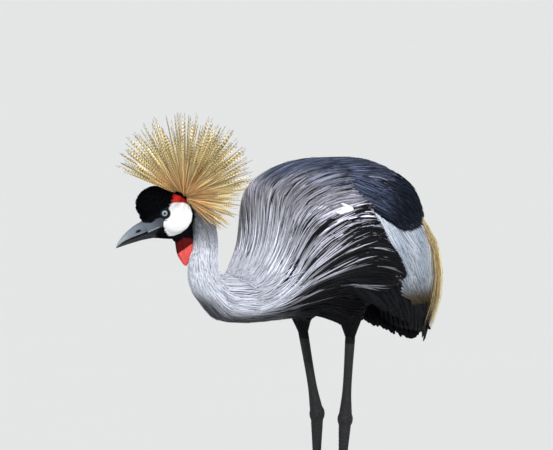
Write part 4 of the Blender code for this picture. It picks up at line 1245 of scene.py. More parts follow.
def until_white(tree, path, count, past=0.0018):
    """How far each feather may go before it passes the border of the white part."""
    last = 14
    points, ways = path(np.broadcast_to(np.linspace(0, 1, last + 1), (count, last + 1)))
    points = settle(tree, points, ways)[0]
    x, z = points[..., 0], points[..., 2]
    depth = np.minimum(past_flank(x, z) - past, cap_edge(x) - z + 0.003)
    blocked = depth > 0
    first = np.where(blocked.any(1), blocked.argmax(1), last)
    rows = np.arange(count)
    before, after = depth[rows, np.maximum(first - 1, 0)], depth[rows, first]
    part = np.clip(-before / np.maximum(after - before, 1e-6), 0, 1)
    return np.where(blocked.any(1), np.maximum(first - 1 + part, 0) / last, 1.0)


def vary(tint, spread):
    """Each feather's own lightness."""
    return tint * np.exp(RNG.normal(0, spread, len(tint)))[:, None]


def mantle_tint(t, angle):
    """The long feathers' colour: pale at the neck, slate on top, black below as painted shade of the
    underside, with streaks and dark gaps that are painted shadow between the feathers.
    """
    turn = np.abs(np.degrees(angle))
    place = np.stack([t * 0.33 / 10, (angle - stream(t, angle)) * 0.145], -1)
    shadow_gap = noise(place, 0.0050, 12) + RNG.normal(0, 0.13, len(t))
    streak = noise(place, 0.0040, 13)
    tint = mix(NECK_GREY, MANTLE_GREY * 1.12, step(0.16, 0.44, t))
    tint = mix(tint, MANTLE_GREY * 2.1, step(0.36, 0.55, t) * step(50, 76, turn))
    tint = tint * np.exp(0.58 * streak)[:, None]
    # Painted shadow: a feather whose noise passes this level turns near black, as the dark gap between lit
    # lances; the level leaves fewer gaps in one patch of the flank and more low down.
    level = 1.20 - 0.54 * step(0.22, 0.42, t) - 0.93 * step(0.34, 0.54, t) * step(48, 72, turn)
    level = level + 0.9 * np.exp(-((t - 0.56) / 0.10) ** 2 - ((turn - 62) / 8) ** 2)
    level = level - 0.26 * step(78, 96, turn) * step(0.36, 0.55, t)
    tint = mix(tint, BLACK * 0.9, step(level - 0.06, level + 0.06, shadow_gap))
    top_end = np.interp(t, (0.36, 0.46, 0.60, 0.85, 1.05), (-30, 10, 36, 56, 74))
    top = SLATE * np.exp(0.85 * streak + 0.1)[:, None]
    tint = mix(tint, top, step(16, -14, turn - top_end) * 0.92)
    # Painted shade: below this border the feathers turn black with a few grey streaks, as the underside in
    # shade.
    low_start = np.interp(t, (0.20, 0.33, 0.50, 0.60, 0.90), (117, 109, 103, 99, 91))
    low_tint = mix(BLACK * 0.5, MANTLE_GREY * 0.8, step(0.95, 1.12, streak))
    return mix(tint, low_tint, step(-5, 5, turn - low_start))


def make_mantle(tree):
    """Long lance feathers that stream from the neck over the shoulders, back and flanks, a piece a side."""
    count = COUNTS["mantle"]
    t, angle = trunk_roots(count, 0.0, 0.86, math.radians(132))
    place = np.stack([t * 3, angle], -1)
    swerve = 0.055 * noise(place * np.array((0.7, 1)), 0.35, 11) + RNG.normal(0, 0.014, count)
    length = (0.050 + 0.040 * step(0.0, 0.3, t)) * RNG.uniform(0.8, 1.2, count)
    half = (0.0011 + 0.0008 * step(0.0, 0.35, t)) * RNG.uniform(0.7, 1.25, count)
    shares = until_white(tree, trunk_path(t, angle, length, swerve), count)
    seen = t + 0.18
    tint = vary(mantle_tint(seen, angle + stream(seen, angle) - stream(t, angle)), 0.20)
    raised = RNG.uniform(0.0002, 0.0022, count)
    made = []
    for side, sign in SIDES.items():
        kept = (shares > SHORTEST) & (np.sign(angle) == sign)
        path = trunk_path(t[kept], angle[kept], length[kept], swerve[kept])
        homes = atlas("trunk", angle[kept] / (2 * math.pi) + 0.5, t[kept])
        made.append(lay(f"coat_mantle_{side}", tree, path, LANCE, half[kept], tint[kept], homes,
                        MATERIALS["lance"], raised[kept], shares[kept], droop=0.40))
    return made


def make_back(tree):
    """Broad dark feathers over the rear of the back, which end in a rounded cap over the wings."""
    count = COUNTS["back"]
    t, angle = trunk_roots(count, 0.50, 0.98, math.radians(84))
    length = 0.056 * RNG.uniform(0.8, 1.15, count)
    half = (0.0026 + 0.0018 * step(0.6, 0.85, t)) * RNG.uniform(0.85, 1.15, count)
    swerve = np.sign(angle) * 0.22 * step(0.6, 0.9, t) + RNG.normal(0, 0.03, count)
    shares = until_white(tree, trunk_path(t, angle, length, swerve), count, 0.001)
    chance = step(0.50, 0.72, t) + step(60, 30, np.abs(np.degrees(angle)))
    keep = (shares > SHORTEST) & (RNG.random(count) < chance)
    t, angle, length, half, swerve, shares = (a[keep] for a in (t, angle, length, half, swerve, shares))
    tint = vary(mix(SLATE * 0.80, CAP_DARK, step(0.60, 0.86, t)), 0.45)
    homes = atlas("trunk", angle / (2 * math.pi) + 0.5, t)
    raised = RNG.uniform(0.0006, 0.0024, len(t))
    return lay("coat_back", tree, trunk_path(t, angle, length, swerve), BROAD, half, tint, homes,
               MATERIALS["back"], raised, shares)


def make_belly(tree):
    count = COUNTS["belly"]
    t, turn = trunk_roots(count, 0.0, 1.0, math.radians(68))
    length = 0.046 * RNG.uniform(0.85, 1.2, count) * step(1.05, 0.9, t)
    swerve = RNG.normal(0, 0.05, count)
    shares = until_white(tree, trunk_path(t, turn + math.pi, length, swerve), count)
    keep = shares > SHORTEST
    t, turn, length, swerve, shares = (a[keep] for a in (t, turn, length, swerve, shares))
    half = 0.0032 * RNG.uniform(0.8, 1.2, len(t))
    # Painted shade: the belly is a darkened copy of the neck's grey at the front and black behind it, as the
    # underside in shade.
    tint = vary(mix(NECK_GREY * 0.16, BLACK * 0.9, step(0.02, 0.20, t)), 0.25)
    homes = atlas("trunk", turn / (2 * math.pi) + 0.5 + 0.31 * np.sign(turn), t)
    return lay("coat_belly", tree, trunk_path(t, turn + math.pi, length, swerve), LANCE, half, tint, homes,
               MATERIALS["back"], shares=shares)


def stream_at(distance, angle):
    """Points this far past the neck's base, and up the neck where less than 0, by the trunk's angle."""
    on_neck, neck_way = neck_at(np.clip(-distance / NECK_LENGTH, 0, 1), angle - math.pi / 2)
    on_trunk, trunk_way = trunk_at(np.clip(distance, 0, None) / TRUNK_LENGTH, angle)
    past = (distance > 0)[..., None]
    return np.where(past, on_trunk, on_neck), np.where(past, trunk_way, neck_way)


def make_collar(tree):
    """Long pale lances that carry the neck's feathers on over the chest and the shoulders."""
    count = COUNTS["collar"]
    a, b = scatter(count, lambda a, b: 1 - 0.5 * a)
    start, angle = -0.085 + 0.125 * a, 2 * math.pi * b - math.pi
    turn = np.abs(np.degrees(angle))
    length = RNG.uniform(0.036, 0.068, count) * (0.45 + 0.55 * step(20, 60, turn))
    half = 0.0013 * RNG.uniform(0.7, 1.25, count)
    swerve = 0.10 * noise(np.stack([start * 4, angle * 0.10], -1), 0.05, 23)
    swerve = swerve + (0.22 * np.sign(angle) * step(25, 55, turn) * step(110, 85, turn)
                       * step(-0.045, -0.010, start))

    def path(shares):
        return stream_at(start[:, None] + length[:, None] * shares, angle[:, None] + swerve[:, None] * shares)
    shadow_gap = noise(np.stack([start / 6, angle * 0.031], -1), 0.0050, 22)
    past = step(0.0, 0.05, start + length * 0.5)
    # Painted shade: lances whose middle faces down are darkened to a deep grey, as the underside in shade.
    below = step(-0.22, -0.82, stream_at(start + length * 0.5, angle)[1][:, 2])
    tint = mix(NECK_GREY, NECK_GREY * 0.12, below * 0.95)
    # Painted shadow: dark gaps among the lances past the neck's base.
    tint = mix(tint, BLACK * 4, step(0.62, 0.80, shadow_gap) * past * 0.9)
    homes = atlas("neck", b, start / 0.6 + 0.16)
    return lay("coat_collar", tree, path, LANCE, half, vary(tint, 0.16), homes, MATERIALS["neck"],
               RNG.uniform(0.0002, 0.0014, count))


def wing_path(sign, angle, z, length, lean):
    def path(shares):
        turn = angle[:, None] - lean[:, None] * shares
        return wing_at(sign, turn, z[:, None] - length[:, None] * shares, -0.003 + 0 * turn)
    return path


def wing_home(side, angle, z):
    return atlas(f"wing_{side}", angle / math.radians(125), (z - 0.30) / 0.28)


def make_wing(side):
    """White coverts, straw plumes and black flight feathers of one wing, as three pieces."""
    sign = SIDES[side]
    made = []
    count = COUNTS["flight"]
    angle = math.radians(4) + math.radians(112) * (np.arange(count) + 0.5) / count
    z = RNG.uniform(0.425, 0.470, count)
    low = np.interp(angle, np.linspace(WING_REAR, WING_FRONT, 6), WING_LOW[:, 0])
    length = z - low + RNG.uniform(-0.008, 0.008, count)
    lean = np.full(count, 0.30) * step(math.radians(4), math.radians(50), angle)
    half = 0.0072 * RNG.uniform(0.85, 1.15, count)
    tint = vary(np.tile(BLACK * 1.2, (count, 1)), 0.2)
    made.append(lay(f"flight_{side}", None, wing_path(sign, angle, z, length, lean), BROAD, half, tint,
                    wing_home(side, angle, z), MATERIALS["back"], RNG.uniform(-0.0034, -0.0018, count)))
    made.append(make_coverts(side))
    count = COUNTS["plumes"]
    angle = math.radians(-2) + math.radians(46) * RNG.random(count) ** 1.25
    z = 0.450 + 0.085 * RNG.random(count)
    length = z - 0.330 - 0.080 * RNG.random(count) ** 1.2
    half = 0.0009 * RNG.uniform(0.6, 1.3, count)
    golden = np.clip(step(26, 46, np.degrees(angle)) + RNG.random(count) ** 4, 0, 1)
    tint = mix(np.tile(STRAW, (count, 1)), OCHRE * 1.4, golden * 0.85)
    lean = RNG.uniform(-0.22, 0.30, count)
    tint = vary(tint, 0.28)
    raised = 0.0002 + 0.0042 * RNG.random(count) ** 3
    made.append(lay(f"plumes_{side}", None, wing_path(sign, angle, z, length, lean), PLUME, half, tint,
                    wing_home(side, angle, z), MATERIALS["plume"], raised))
    return made


def panel_tint(sign, angle, z):
    """The white part's colour, brightest at its top as painted light and darker low down as painted shade, in
    soft upright streaks of painted shade, straw and brown low down.
    """
    rear = np.degrees(angle)
    fold_shade = noise(np.stack([angle * 0.11 + 0.25 * z, z / 14, 0 * z + sign], -1), 0.0100, 31)
    # Painted shade: soft upright streaks of the shaded, bluish white.
    tint = mix(WHITE, WHITE_SHADE, step(-1.2, 1.4, fold_shade) * step(0.56, 0.49, z) * 0.9)
    # Painted shade and light: the panel is darker low down and brightest at its top.
    tint = tint * (0.60 + 0.40 * step(0.42, 0.53, z))[..., None]
    straw = np.maximum(step(52, 34, rear) * step(0.49, 0.42, z), step(38, 30, rear))
    tint = mix(tint, STRAW * 0.62, straw * 0.85)
    return mix(tint, OCHRE * 0.22, step(0.420, 0.392, z))


def make_coverts(side):
    """Long soft white feathers that hang over the flight feathers."""
    sign = SIDES[side]
    count = COUNTS["coverts"]
    a, b = scatter(count, unthinned)
    angle = math.radians(3) + math.radians(108) * a + RNG.uniform(-0.05, 0.05, count)
    z = 0.405 + 0.158 * b + RNG.uniform(-0.006, 0.006, count)
    end = np.maximum(z - 0.070 * RNG.uniform(0.7, 1.3, count), 0.380 + 0.020 * RNG.random(count))
    lean = 0.16 * step(math.radians(25), math.radians(75), angle) + RNG.uniform(-0.02, 0.02, count)
    path = wing_path(sign, angle, z, z - end, lean)
    spots = path(np.broadcast_to(np.linspace(0, 1, 9), (count, 9)))[0]
    out = past_flank(spots[..., 0], spots[..., 2]) < -0.006
    shares = np.where(out.any(1), out.argmax(1) / 9, 1.0)
    high = z - cap_edge(spots[:, 0, 0])
    keep = (z - end > 0.012) & (shares > 0.25) & (high < 0.012)
    angle, z, end, lean, shares, count = angle[keep], z[keep], end[keep], lean[keep], shares[keep], keep.sum()
    half = 0.0030 * RNG.uniform(0.75, 1.25, count)
    along = COVERT[None, :, 0] * shares[:, None]
    tint = panel_tint(sign, angle[:, None] - lean[:, None] * along, z[:, None] - (z - end)[:, None] * along)
    return lay(f"coverts_{side}", None, wing_path(sign, angle, z, z - end, lean), COVERT, half,
               tint * np.exp(RNG.normal(0, 0.02, count))[:, None, None], wing_home(side, angle, z),
               MATERIALS["white"], RNG.uniform(0.0002, 0.0008, count), shares, droop=0.0)


def make_cap(side, tree):
    """Dark rounded feathers that hang from the back over the top of the white ones, under narrow streaks."""
    sign = SIDES[side]
    made = []
    for name, count, shape, rises, widths, lengths, leans in (
            ("cap", COUNTS["cap"], BROAD, (0.0, 0.044), (0.0026, 0.0042), (0.022, 0.034), (0.12, 0.26)),
            ("streaks", COUNTS["streaks"], LANCE, (0.005, 0.056), (0.0014, 0.0021), (0.026, 0.054),
             (0.14, 0.34))):
        x = RNG.uniform(0.122 - 0.012 * (shape is LANCE), 0.254, count)
        rise = rises[0] + (rises[1] - rises[0]) * RNG.random(count) ** 1.2
        low = cap_edge(x) + rise + 0.0075 * step(0.170, 0.135, x)
        centre, half_length = (np.interp(low, WING_LEVELS[:, 0], WING_LEVELS[:, k]) for k in (1, 2))
        angle = np.arccos(np.clip((x - centre) / half_length, -1, 0.999))
        lean, length = RNG.uniform(*leans, count), RNG.uniform(*lengths, count)
        half = (widths[0] + (widths[1] - widths[0]) * step(0.12, 0.17, x)) * RNG.uniform(0.8, 1.25, count)
        path = wing_path(sign, angle + lean, low + length, length, lean)
        tint = vary(mix(SLATE * 0.8, CAP_DARK, step(0.112, 0.152, x)), 0.40)
        if shape is LANCE:
            tint = mix(SLATE * 1.15, CAP_DARK, step(0.118, 0.176, x + 0.3 * (0.035 - rise)))
            tint = vary(tint, 0.50)
        made.append(lay(f"coat_{name}_{side}", tree, path, shape, half, tint, wing_home(side, angle, low),
                        MATERIALS["back"], 0.0026 + 0.03 * rise + 0.0010 * (shape is LANCE)))
    return made


def make_window(tree):
    """The small white spot of each wing that shows between the long grey feathers."""
    made = []
    for side, sign in SIDES.items():
        count = COUNTS["window"]
        across = np.linspace(-1, 1, count)
        x = WINDOW_AT[0] + WINDOW_SIZE[0] * (0.25 * across - 0.45)
        z = WINDOW_AT[1] + WINDOW_SIZE[1] * across
        length = 0.012 + 0.020 * (1 - np.abs(across - 0.25)) + RNG.uniform(-0.002, 0.002, count)
        root = np.stack([x, np.full(count, sign * 0.104), z], -1)
        way = np.array((0.85, 0.0, -0.42))
        out = np.tile((0.0, float(sign), 0.2), (count, 1))

        def path(shares):
            spots = root[:, None] + way * (length[:, None] * shares)[..., None]
            return spots, np.broadcast_to(out[:, None], spots.shape)
        home = atlas(f"wing_{side}", 0.85 + 0.1 * RNG.random(count), 0.85 + 0.1 * RNG.random(count))
        half, tint = np.full(count, WINDOW_HALF), np.tile(CHALK, (count, 1))
        made.append(lay(f"window_{side}", tree, path, BROAD, half, tint, home, MATERIALS["white"],
                        WINDOW_RAISED))
    return made


def make_neck(tree):
    """Short hair-like feathers, which grow longer towards the base."""
    count = COUNTS["neck"]
    a, b = scatter(count, lambda a, b: np.interp(a, (0, 0.3, 1), (0.9, 0.75, 0.60)))
    t, angle = 0.015 + 0.975 * a, 2 * math.pi * b - math.pi
    base = step(0.42, 0.05, t)
    length = (0.015 + 0.022 * base) * RNG.uniform(0.8, 1.25, count)
    length = length * (1 - 0.5 * step(0.84, 0.97, t))
    half = (0.0007 + 0.0006 * base) * RNG.uniform(0.8, 1.2, count)
    place = np.stack([t * 0.5, 0.12 * np.cos(angle), 0.12 * np.sin(angle)], -1)
    swerve = 0.16 * noise(place, 0.16, 21) + RNG.normal(0, 0.03, count)

    def path(shares):
        start = -t * NECK_LENGTH
        return stream_at(start[:, None] + length[:, None] * shares, angle[:, None] + swerve[:, None] * shares)
    middles, ways = stream_at(length * 0.6 - t * NECK_LENGTH, angle)
    under = step(-0.22, -0.82, ways[:, 2]) * step(0.70, 0.45, t)
    # Painted light: the middle of the neck is paler, as where the sun falls on it.
    tint = mix(NECK_GREY, NECK_LIT, step(0.12, 0.36, t) * step(0.80, 0.60, t))
    # Painted shade: tufts that face down on the lower neck are darkened, as the underside in shade.
    tint = mix(tint, NECK_GREY * 0.12, under * 0.95)
    # Painted shadow: the neck turns darker towards the head, where the crest's shadow falls.
    tint = mix(tint, NECK_GREY * 0.26, step(0.60, 0.97, t))
    tint = mix(tint, BLACK * 1.5, neck_black(middles))
    homes = atlas("neck", b, t)
    return lay("coat_neck", tree, path, TUFT, half, vary(tint, 0.06), homes, MATERIALS["neck"],
               RNG.uniform(0, 0.0004, count) + 0.0003 * base, droop=0.10)


def neck_black(points):
    """How black the neck is, next to the cheek and the throat."""
    f, u, _ = head_place(points).T
    near = line_distance(f - EYE_AT[0], u - EYE_AT[1], CHEEK_LINE)
    band = np.interp(u, (-0.050, -0.032, 0.0), (0.0090, 0.0022, 0.0022))
    return step(2.6, 0.8, near / band)


def surface_roots(obj_points, obj_faces, count):
    a, b, c = (obj_points[obj_faces[:, k]] for k in range(3))
    area = np.linalg.norm(np.cross(b - a, c - a), axis=1)
    chosen = RNG.choice(len(obj_faces), count, p=area / area.sum())
    r1, r2 = np.sqrt(RNG.random(count)), RNG.random(count)
    spot = (1 - r1)[:, None] * a[chosen] + (r1 * (1 - r2))[:, None] * b[chosen]
    return spot + (r1 * r2)[:, None] * c[chosen], unit(np.cross(b - a, c - a)[chosen])


def make_hood(skin, tree):
    """Plush black feathers of the cushion, the hood and the throat."""
    faces = np.array([tuple(f.vertices)[:3] for f in skin.data.polygons])
    points = points_of(skin)
    middle = head_place(points[faces].mean(1))
    near = (middle[:, 0] > -0.046) & (middle[:, 1] > -0.055) & (np.abs(middle[:, 2]) < 0.026)
    count = COUNTS["hood"]
    roots, normals = surface_roots(points, faces[near], count)
    place = head_place(roots)
    bare = np.max(head_marks(roots), 0)
    off = np.array([tree.find_nearest(Vector(p))[3] for p in roots])
    keep = (bare < 0.05) & (off < 0.0008) & (place[:, 0] < 0.043)
    roots, normals, place = roots[keep], normals[keep], place[keep]
    count = len(roots)
    cushion = step(0.004, 0.012, place[:, 1]) * step(-0.022, -0.010, place[:, 0])
    flow = -HEAD_F * 0.9 - HEAD_U * 0.45
    flow = flow + RNG.normal(0, 0.22, (count, 3))
    flow = unit(flow - normals * np.sum(flow * normals, -1, keepdims=True))
    length = (0.0040 + 0.0012 * cushion) * RNG.uniform(0.8, 1.2, count)
    shares = np.array((0.0, 0.5, 1.0))
    rise = (0.0011 + 0.0016 * cushion)[:, None] * shares ** 0.7 - 0.0005
    mids = roots[:, None] + flow[:, None] * (length[:, None] * shares)[..., None]
    mids = mids + normals[:, None] * rise[..., None]
    halves = np.array((0.00050, 0.00045, 0.00006)) * RNG.uniform(0.8, 1.2, count)[:, None]
    tint = mix(np.tile(BLACK, (count, 1)), NECK_GREY * 0.8, behind_band(roots))
    tint = np.broadcast_to(vary(tint, 0.15)[:, None], (count, 3, 3))
    a = place[:, 0] / 0.10 + 0.5
    homes = atlas("head", a, place[:, 1] / 0.24 + 0.5 + 0.25 * np.sign(place[:, 2]))
    return bristles("coat_hood", mids, np.broadcast_to(normals[:, None], mids.shape), halves, tint, homes,
                    MATERIALS["velvet"])


def crest_axes():
    pole = unit(UP * math.cos(CREST_LEAN) - HEAD_FLAT * math.sin(CREST_LEAN))
    return unit(np.cross(pole, HEAD_S)), HEAD_S, pole


def crest_way(tilt, turn):
    ahead, aside, pole = crest_axes()
    flat = np.outer(np.cos(turn), ahead) + np.outer(CREST_NARROWER * np.sin(turn), aside)
    return unit(flat * np.sin(tilt)[:, None] + pole * np.cos(tilt)[:, None])


def clear_way(centre, tilt, turn, length, trees):
    """Turns each bristle that runs into the head or neck up a little, or else gives it no length."""
    for k in range(len(length)):
        for turns in range(CLEAR_TRIES):
            way = crest_way(tilt[k:k + 1], turn[k:k + 1])[0]
            start = Vector(centre[k] + way * 0.019)
            spot, normal = trees[0].find_nearest(start)[:2]
            inside = (start - spot).dot(normal) < 0
            found = [tree.ray_cast(start, Vector(way), length[k])[3] for tree in trees]
            hits = [reach for reach in found if reach is not None]
            if not inside and not hits:
                break
            if turns < CLEAR_TRIES - 1 and math.cos(turn[k]) > 0.3:
                turn[k] += math.copysign(math.radians(RNG.uniform(2.0, 6.0)), math.sin(turn[k]))
            elif turns < CLEAR_TRIES - 1:
                tilt[k] -= math.radians(RNG.uniform(0.5, 3.0))
            else:
                length[k] = 0


def make_crest(head_tree, tree):
    """A fan of twisted bristles, long ones outside and short dense ones round their roots."""
    made = []
    for name, low, high, thick in (("crest_long", 0.70, 1.0, 0.00068), ("crest_short", 0.22, 0.66, 0.00056)):
        count = COUNTS[name]
        share = (np.arange(count) + 0.5) / count
        tilt = CREST_SPREAD * share ** 0.55 + RNG.normal(0, 0.05, count)
        turn = np.arange(count) * GOLDEN_ANGLE + RNG.uniform(-0.2, 0.2, count)
        tilt = tilt * (1 - 0.34 * np.sin(turn) ** 2)
        behind = step(0.2, 0.9, np.cos(turn)) * step(0.7, 1.3, tilt)
        aside = RNG.uniform(0.004, 0.014, count) * np.sign(np.sin(turn)) * behind
        aside = aside + RNG.normal(0, 0.0025, count)
        centre = head_point(CREST_AT) + aside[:, None] * HEAD_S
        length = CREST_LENGTH * RNG.uniform(low, high, count)
        clear_way(centre, tilt, turn, length, (head_tree, tree))
        length = length * np.interp(np.degrees(-tilt * np.cos(turn)), *CREST_OUTLINE.T)
        kept = length > 0.028
        centre, length, tilt, turn = (a[kept] for a in (centre, length, tilt, turn))
        count = len(tilt)
        way = crest_way(tilt, turn)
        shares = np.linspace(0, 1, 13)
        bend = np.cross(way, RNG.normal(size=(count, 3)))
        bend = unit(bend) * (0.045 * RNG.random(count) ** 2)[:, None] - UP * 0.008 * np.sin(tilt)[:, None]
        along = 0.006 + shares[None, :] * (length - 0.006)[:, None]
        mids = centre[:, None] + way[:, None] * along[..., None]
        mids = mids + bend[:, None] * (shares ** 2.2)[None, :, None] * length[:, None, None]
        width = np.interp(shares, (0, 0.2, 0.6, 0.9, 1.0), (0.75, 0.9, 1.05, 1.0, 0.35))
        radii = thick * width[None] * RNG.uniform(0.8, 1.2, count)[:, None]
        # CREST_ROOT and CREST_TIP go above 1: painted light against the crest's own shade.
        gold = mix(CREST_ROOT, CREST_TIP, step(0.20, 0.75, shares * length[:, None] / 0.11))
        tints = gold * np.exp(RNG.normal(-0.03, 0.34, count))[:, None, None]
        dark = 0.93 * (shares > 0.95)[None] * step(0.60, 0.80, length / CREST_LENGTH)[:, None]
        tints = tints * (1 - dark)[..., None]
        homes = atlas("crest", (turn / (2 * math.pi)) % 1, tilt / CREST_SPREAD * 0.9)
        ups = np.broadcast_to(unit(np.cross(way, RNG.normal(size=(count, 3))))[:, None], mids.shape)
        made.append(bristles(name, mids, ups, radii, tints, homes, MATERIALS["bristle"]))
    return made


def make_thigh(side, tree):
    count = COUNTS["thigh"]
    hip, knee = (np.array(place) for place in LEGS[side][:2])
    a, b = scatter(count, unthinned)
    angle, share = 2 * math.pi * b, -0.2 + 1.08 * a
    length = 0.020 * RNG.uniform(0.8, 1.2, count)
    axis = knee - hip

    def path(shares):
        place = share[:, None] + shares * (length / np.linalg.norm(axis))[:, None]
        radius = spline(THIGH_RADII, np.clip(place, 0, 1))[..., 0]
        way = np.stack([np.cos(angle), np.sin(angle), 0 * angle], -1)[:, None]
        way = np.broadcast_to(way, (*place.shape, 3))
        return hip + axis * place[..., None] + way * radius[..., None], way
    tint = vary(np.tile(BLACK * 0.9, (count, 1)), 0.25)
    return lay(f"coat_thigh_{side}", tree, path, TUFT, np.full(count, 0.0017), tint,
               atlas(f"thigh_{side}", b, a), MATERIALS["back"], reach=0.004)


def make_tail():
    count = COUNTS["tail"]
    down = unit(np.array((0.46, 0, -0.89)))
    share = 2 * (np.arange(count) + 0.5) / count - 1
    fan = math.radians(26) * share
    along = np.outer(np.cos(fan), down) + np.outer(np.sin(fan), (0, 1, 0))
    face = np.array((-down[2], 0, down[0]))
    start = np.stack([0 * share + 0.198, 0.020 * share, 0 * share + 0.432], -1)
    start = start + face * (0.0040 * (1 - np.abs(share)))[:, None]
    shares = np.linspace(0, 1, 16)
    mids = start[:, None] + along[:, None] * (0.115 * shares)[None, :, None]
    width = np.interp(shares, (0, 0.3, 0.85, 0.95, 1), (0.5, 0.9, 1.0, 0.8, 0.3))
    halves = np.broadcast_to(0.0095 * width, (count, 16))
    tints = np.broadcast_to(BLACK * 1.3, (count, 16, 3))
    homes = atlas("tail", share * 0.4 + 0.5, 0 * share + 0.5)
    ups = np.broadcast_to(face, mids.shape)
    return vanes("tail_fan", mids, ups, halves, tints, homes, MATERIALS["back"])


# Bill and eyes

def make_bill():
    rows = spline(BILL, np.linspace(0, 1, 110))
    f, top, mouth, low, half = rows.T
    upper = head_loft("bill_top", np.stack([f, top, mouth + 0.0001, half], -1), 88, 2.25)
    lower = head_loft("bill_low", np.stack([f, mouth + 0.0007, low, half * 0.93], -1), 56, 2.25)
    for obj, is_upper in ((upper, True), (lower, False)):
        points = points_of(obj)
        place = head_place(points)
        a, b, c = place.T
        tint = np.outer(0.92 + 0.38 * step(0.040, 0.056, a), BILL_GREY)
        tip = step(0.055, 0.088, a)
        if is_upper:
            tint = mix(tint, (0.36, 0.42, 0.44), tip * 0.85)
            edge = np.interp(a, BILL[:, 0], BILL[:, 2])
            tint = mix(tint, LIP_GREY, step(0.0040, 0.0030, b - edge) * step(0.066, 0.054, a) * 0.8)
            # Painted shade: a black band along the upper mandible's lower edge, for the shade in the slit of
            # the mouth.
            tint = mix(tint, (0.008, 0.009, 0.011), step(0.0026, 0.0017, b - edge) * step(0.090, 0.076, a))
            nose = np.hypot((a - NOSTRIL_AT[0]) / NOSTRIL_SIZE[0], (b - NOSTRIL_AT[1]) / NOSTRIL_SIZE[1])
            # Painted shade: the nostril's pit is black.
            tint = mix(tint, (0.010, 0.010, 0.012), step(1.0, 0.75, nose))
            pit = 0.0032 * step(1.0, 0.62, nose) * np.sign(c) * step(0.002, 0.004, np.abs(c))
            set_points(obj, points - pit[:, None] * HEAD_S)
        else:
            # Painted shade: the lower mandible is far darker than the upper, as the underside of the bill in
            # shade.
            tint = mix(BILL_GREY * 0.10, (0.10, 0.11, 0.12), tip * 0.15)
        add_colours(obj, tint)
        smoothed(obj)
        obj.data.materials.append(MATERIALS["bill"])
    return upper, lower


def make_eye(side):
    sign = -SIDES[side]
    f, u, s = EYE_AT
    centre = head_point((f, u, sign * s))
    axes = np.array((HEAD_F, HEAD_U, HEAD_S * sign))
    made = ellipsoid(f"eyeball_{side}", (0, 0, 0), np.eye(3), (EYE_RADIUS,) * 3, 64, 96)
    points = points_of(made)
    ring = np.arccos(np.clip(points[:, 2] / EYE_RADIUS, -1, 1))
    bulge = 1 + 0.05 * step(0.85, 0.3, ring)
    set_points(made, centre + points * bulge[:, None] @ axes)
    add_value(made, "ring", ring)
    smoothed(made)
    made.data.materials.append(MATERIALS["eye"])
    return made


# The stage

def make_stage(shift):
    centre = np.array(shift)
    corners = ((-1, -1), (1, -1), (1, 1), (-1, 1))
    floor = object_from("floor", [(x * FLOOR_REACH, y * FLOOR_REACH, 0) for x, y in corners], [(0, 1, 2, 3)])
    floor.data.materials.append(plain_material("studio_floor", FLOOR_COLOUR, 0.9))
    world = bpy.data.worlds.new("studio")
    world.use_nodes = True
    world.node_tree.nodes["Background"].inputs[0].default_value = SKY_COLOUR
    world.node_tree.nodes["Background"].inputs[1].default_value = SKY_LIGHT
    bpy.context.scene.world = world
    turn_cos, turn_sin = math.cos(VIEW_TURN), math.sin(VIEW_TURN)
    back = np.array((turn_sin * math.cos(VIEW_RISE), -turn_cos * math.cos(VIEW_RISE), math.sin(VIEW_RISE)))
    right = np.array((turn_cos, turn_sin, 0))
    up = np.cross(back, right)
    target = centre + up * ((FLOOR_ROW - PHOTO_SIZE[1] / 2) * PIXEL)
    target = target + right * ((PHOTO_SIZE[0] / 2 - CENTRE_COLUMN) * PIXEL)
    lens = bpy.data.cameras.new("camera")
    lens.sensor_width = FILM_WIDTH
    lens.lens = FILM_WIDTH * VIEW_DISTANCE / (PHOTO_SIZE[0] * PIXEL)
    lens.clip_end = VIEW_END
    camera = linked("camera", lens)
    turn = Matrix((right, up, back)).transposed().to_4x4()
    camera.matrix_world = Matrix.Translation(Vector(target + back * VIEW_DISTANCE)) @ turn
    bpy.context.scene.camera = camera
    for name, energy, angle, (behind, aside, above) in LAMPS:
        light = bpy.data.lights.new(name, "SUN")
        light.energy = energy
        light.angle = math.radians(angle)
        way = Vector(back * behind + right * aside + UP * above)
        linked(name, light).rotation_euler = way.to_track_quat("Z", "Y").to_euler()
    bpy.context.scene.view_settings.view_transform = "Standard"


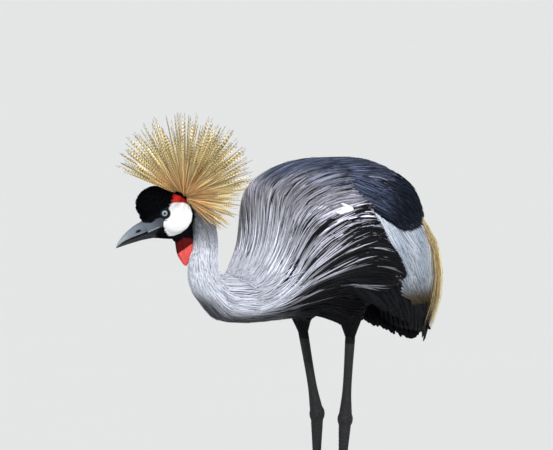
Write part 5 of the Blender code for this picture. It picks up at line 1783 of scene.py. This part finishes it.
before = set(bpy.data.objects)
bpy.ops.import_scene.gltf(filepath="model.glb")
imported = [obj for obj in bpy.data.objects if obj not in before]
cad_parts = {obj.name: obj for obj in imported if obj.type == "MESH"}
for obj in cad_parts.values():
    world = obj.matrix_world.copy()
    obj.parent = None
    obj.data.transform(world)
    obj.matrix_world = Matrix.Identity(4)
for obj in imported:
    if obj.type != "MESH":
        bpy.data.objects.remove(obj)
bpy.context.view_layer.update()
low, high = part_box("eye_left")
SHIFT = np.array((low + high) / 2) - head_point(EYE_AT)
MATERIALS = {
    "lance": feather_material("lance_feather", 0.85, 0.75, 0.40, 0.30, 0.62, 0.18),
    "neck": feather_material("neck_feather", 0.08, 0.08, 0.95, 0.10, 0.85, 0.10),
    "back": feather_material("dark_feather", 0.40, 0.80, 0.55, 0.40, 0.62, 0.07),
    "white": feather_material("white_feather", 0.02, 0.02, 0.97, 0.08, 0.80, 0.15),
    "plume": feather_material("straw_plume", 0.20, 0.10, 0.85, 0.35, 0.60, 0.25),
    "velvet": feather_material("velvet_feather", 0.10, 0.10, 0.70, 0.30, 0.95, 0.02),
    "bristle": bristle_material(),
    "skin": skin_material(),
    "scales": scale_material(),
    "bill": horn_material("bill_horn", 0.42),
    "claw": horn_material("claw_horn", 0.35),
    "eye": eye_material(),
}
SKIN, GROUND, HEAD = make_skin()
PIECES = {"skin": (SKIN, "neck_grey")}
for made, slot in (
        *((piece, "mantle_grey") for piece in make_mantle(GROUND)), (make_back(GROUND), "mantle_grey"),
        (make_belly(GROUND), "mantle_grey"), (make_neck(GROUND), "neck_grey"),
        (make_collar(GROUND), "neck_grey"), (make_hood(SKIN, HEAD), "velvet_black"),
        (make_tail(), "tail_black")):
    PIECES[made.name] = (made, slot)
for side in SIDES:
    for made in make_wing(side):
        PIECES[made.name] = (made, "wing_white")
    for made in make_cap(side, GROUND):
        PIECES[made.name] = (made, "mantle_grey")
    PIECES[f"coat_thigh_{side}"] = (make_thigh(side, GROUND), "thigh_black")
    PIECES[f"claws_{side}"] = (make_claws(side), "claw_black")
    PIECES[f"eyeball_{side}"] = (make_eye(side), "iris_blue")
for made in make_window(GROUND):
    PIECES[made.name] = (made, "wing_white")
for made in make_crest(HEAD, GROUND):
    PIECES[made.name] = (made, "crest_gold")
for made in make_bill():
    PIECES[made.name] = (made, "bill_slate")

for made, slot in PIECES.values():
    made.data.transform(Matrix.Translation(Vector(SHIFT)))
    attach(made, "root")
REPLACED = {
    "skin": ["torso", "neck_lower", "neck_middle", "neck_upper", "head", "wattle"],
    "tail_fan": ["tail"], "crest_long": ["crest"], "bill_top": ["bill_upper"], "bill_low": ["bill_lower"],
}
for side in SIDES:
    for name in ("cheek", "red_patch", "lid", "thigh", "shank", "tarsus", "foot"):
        REPLACED["skin"].append(f"{name}_{side}")
    REPLACED[f"coverts_{side}"] = [f"wing_{side}"]
    REPLACED[f"eyeball_{side}"] = [f"eye_{side}"]
    REPLACED[f"claws_{side}"] = [f"claw_{toe}_{side}" for toe in TOES]
for name, nodes in REPLACED.items():
    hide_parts(*nodes)
make_stage(SHIFT)
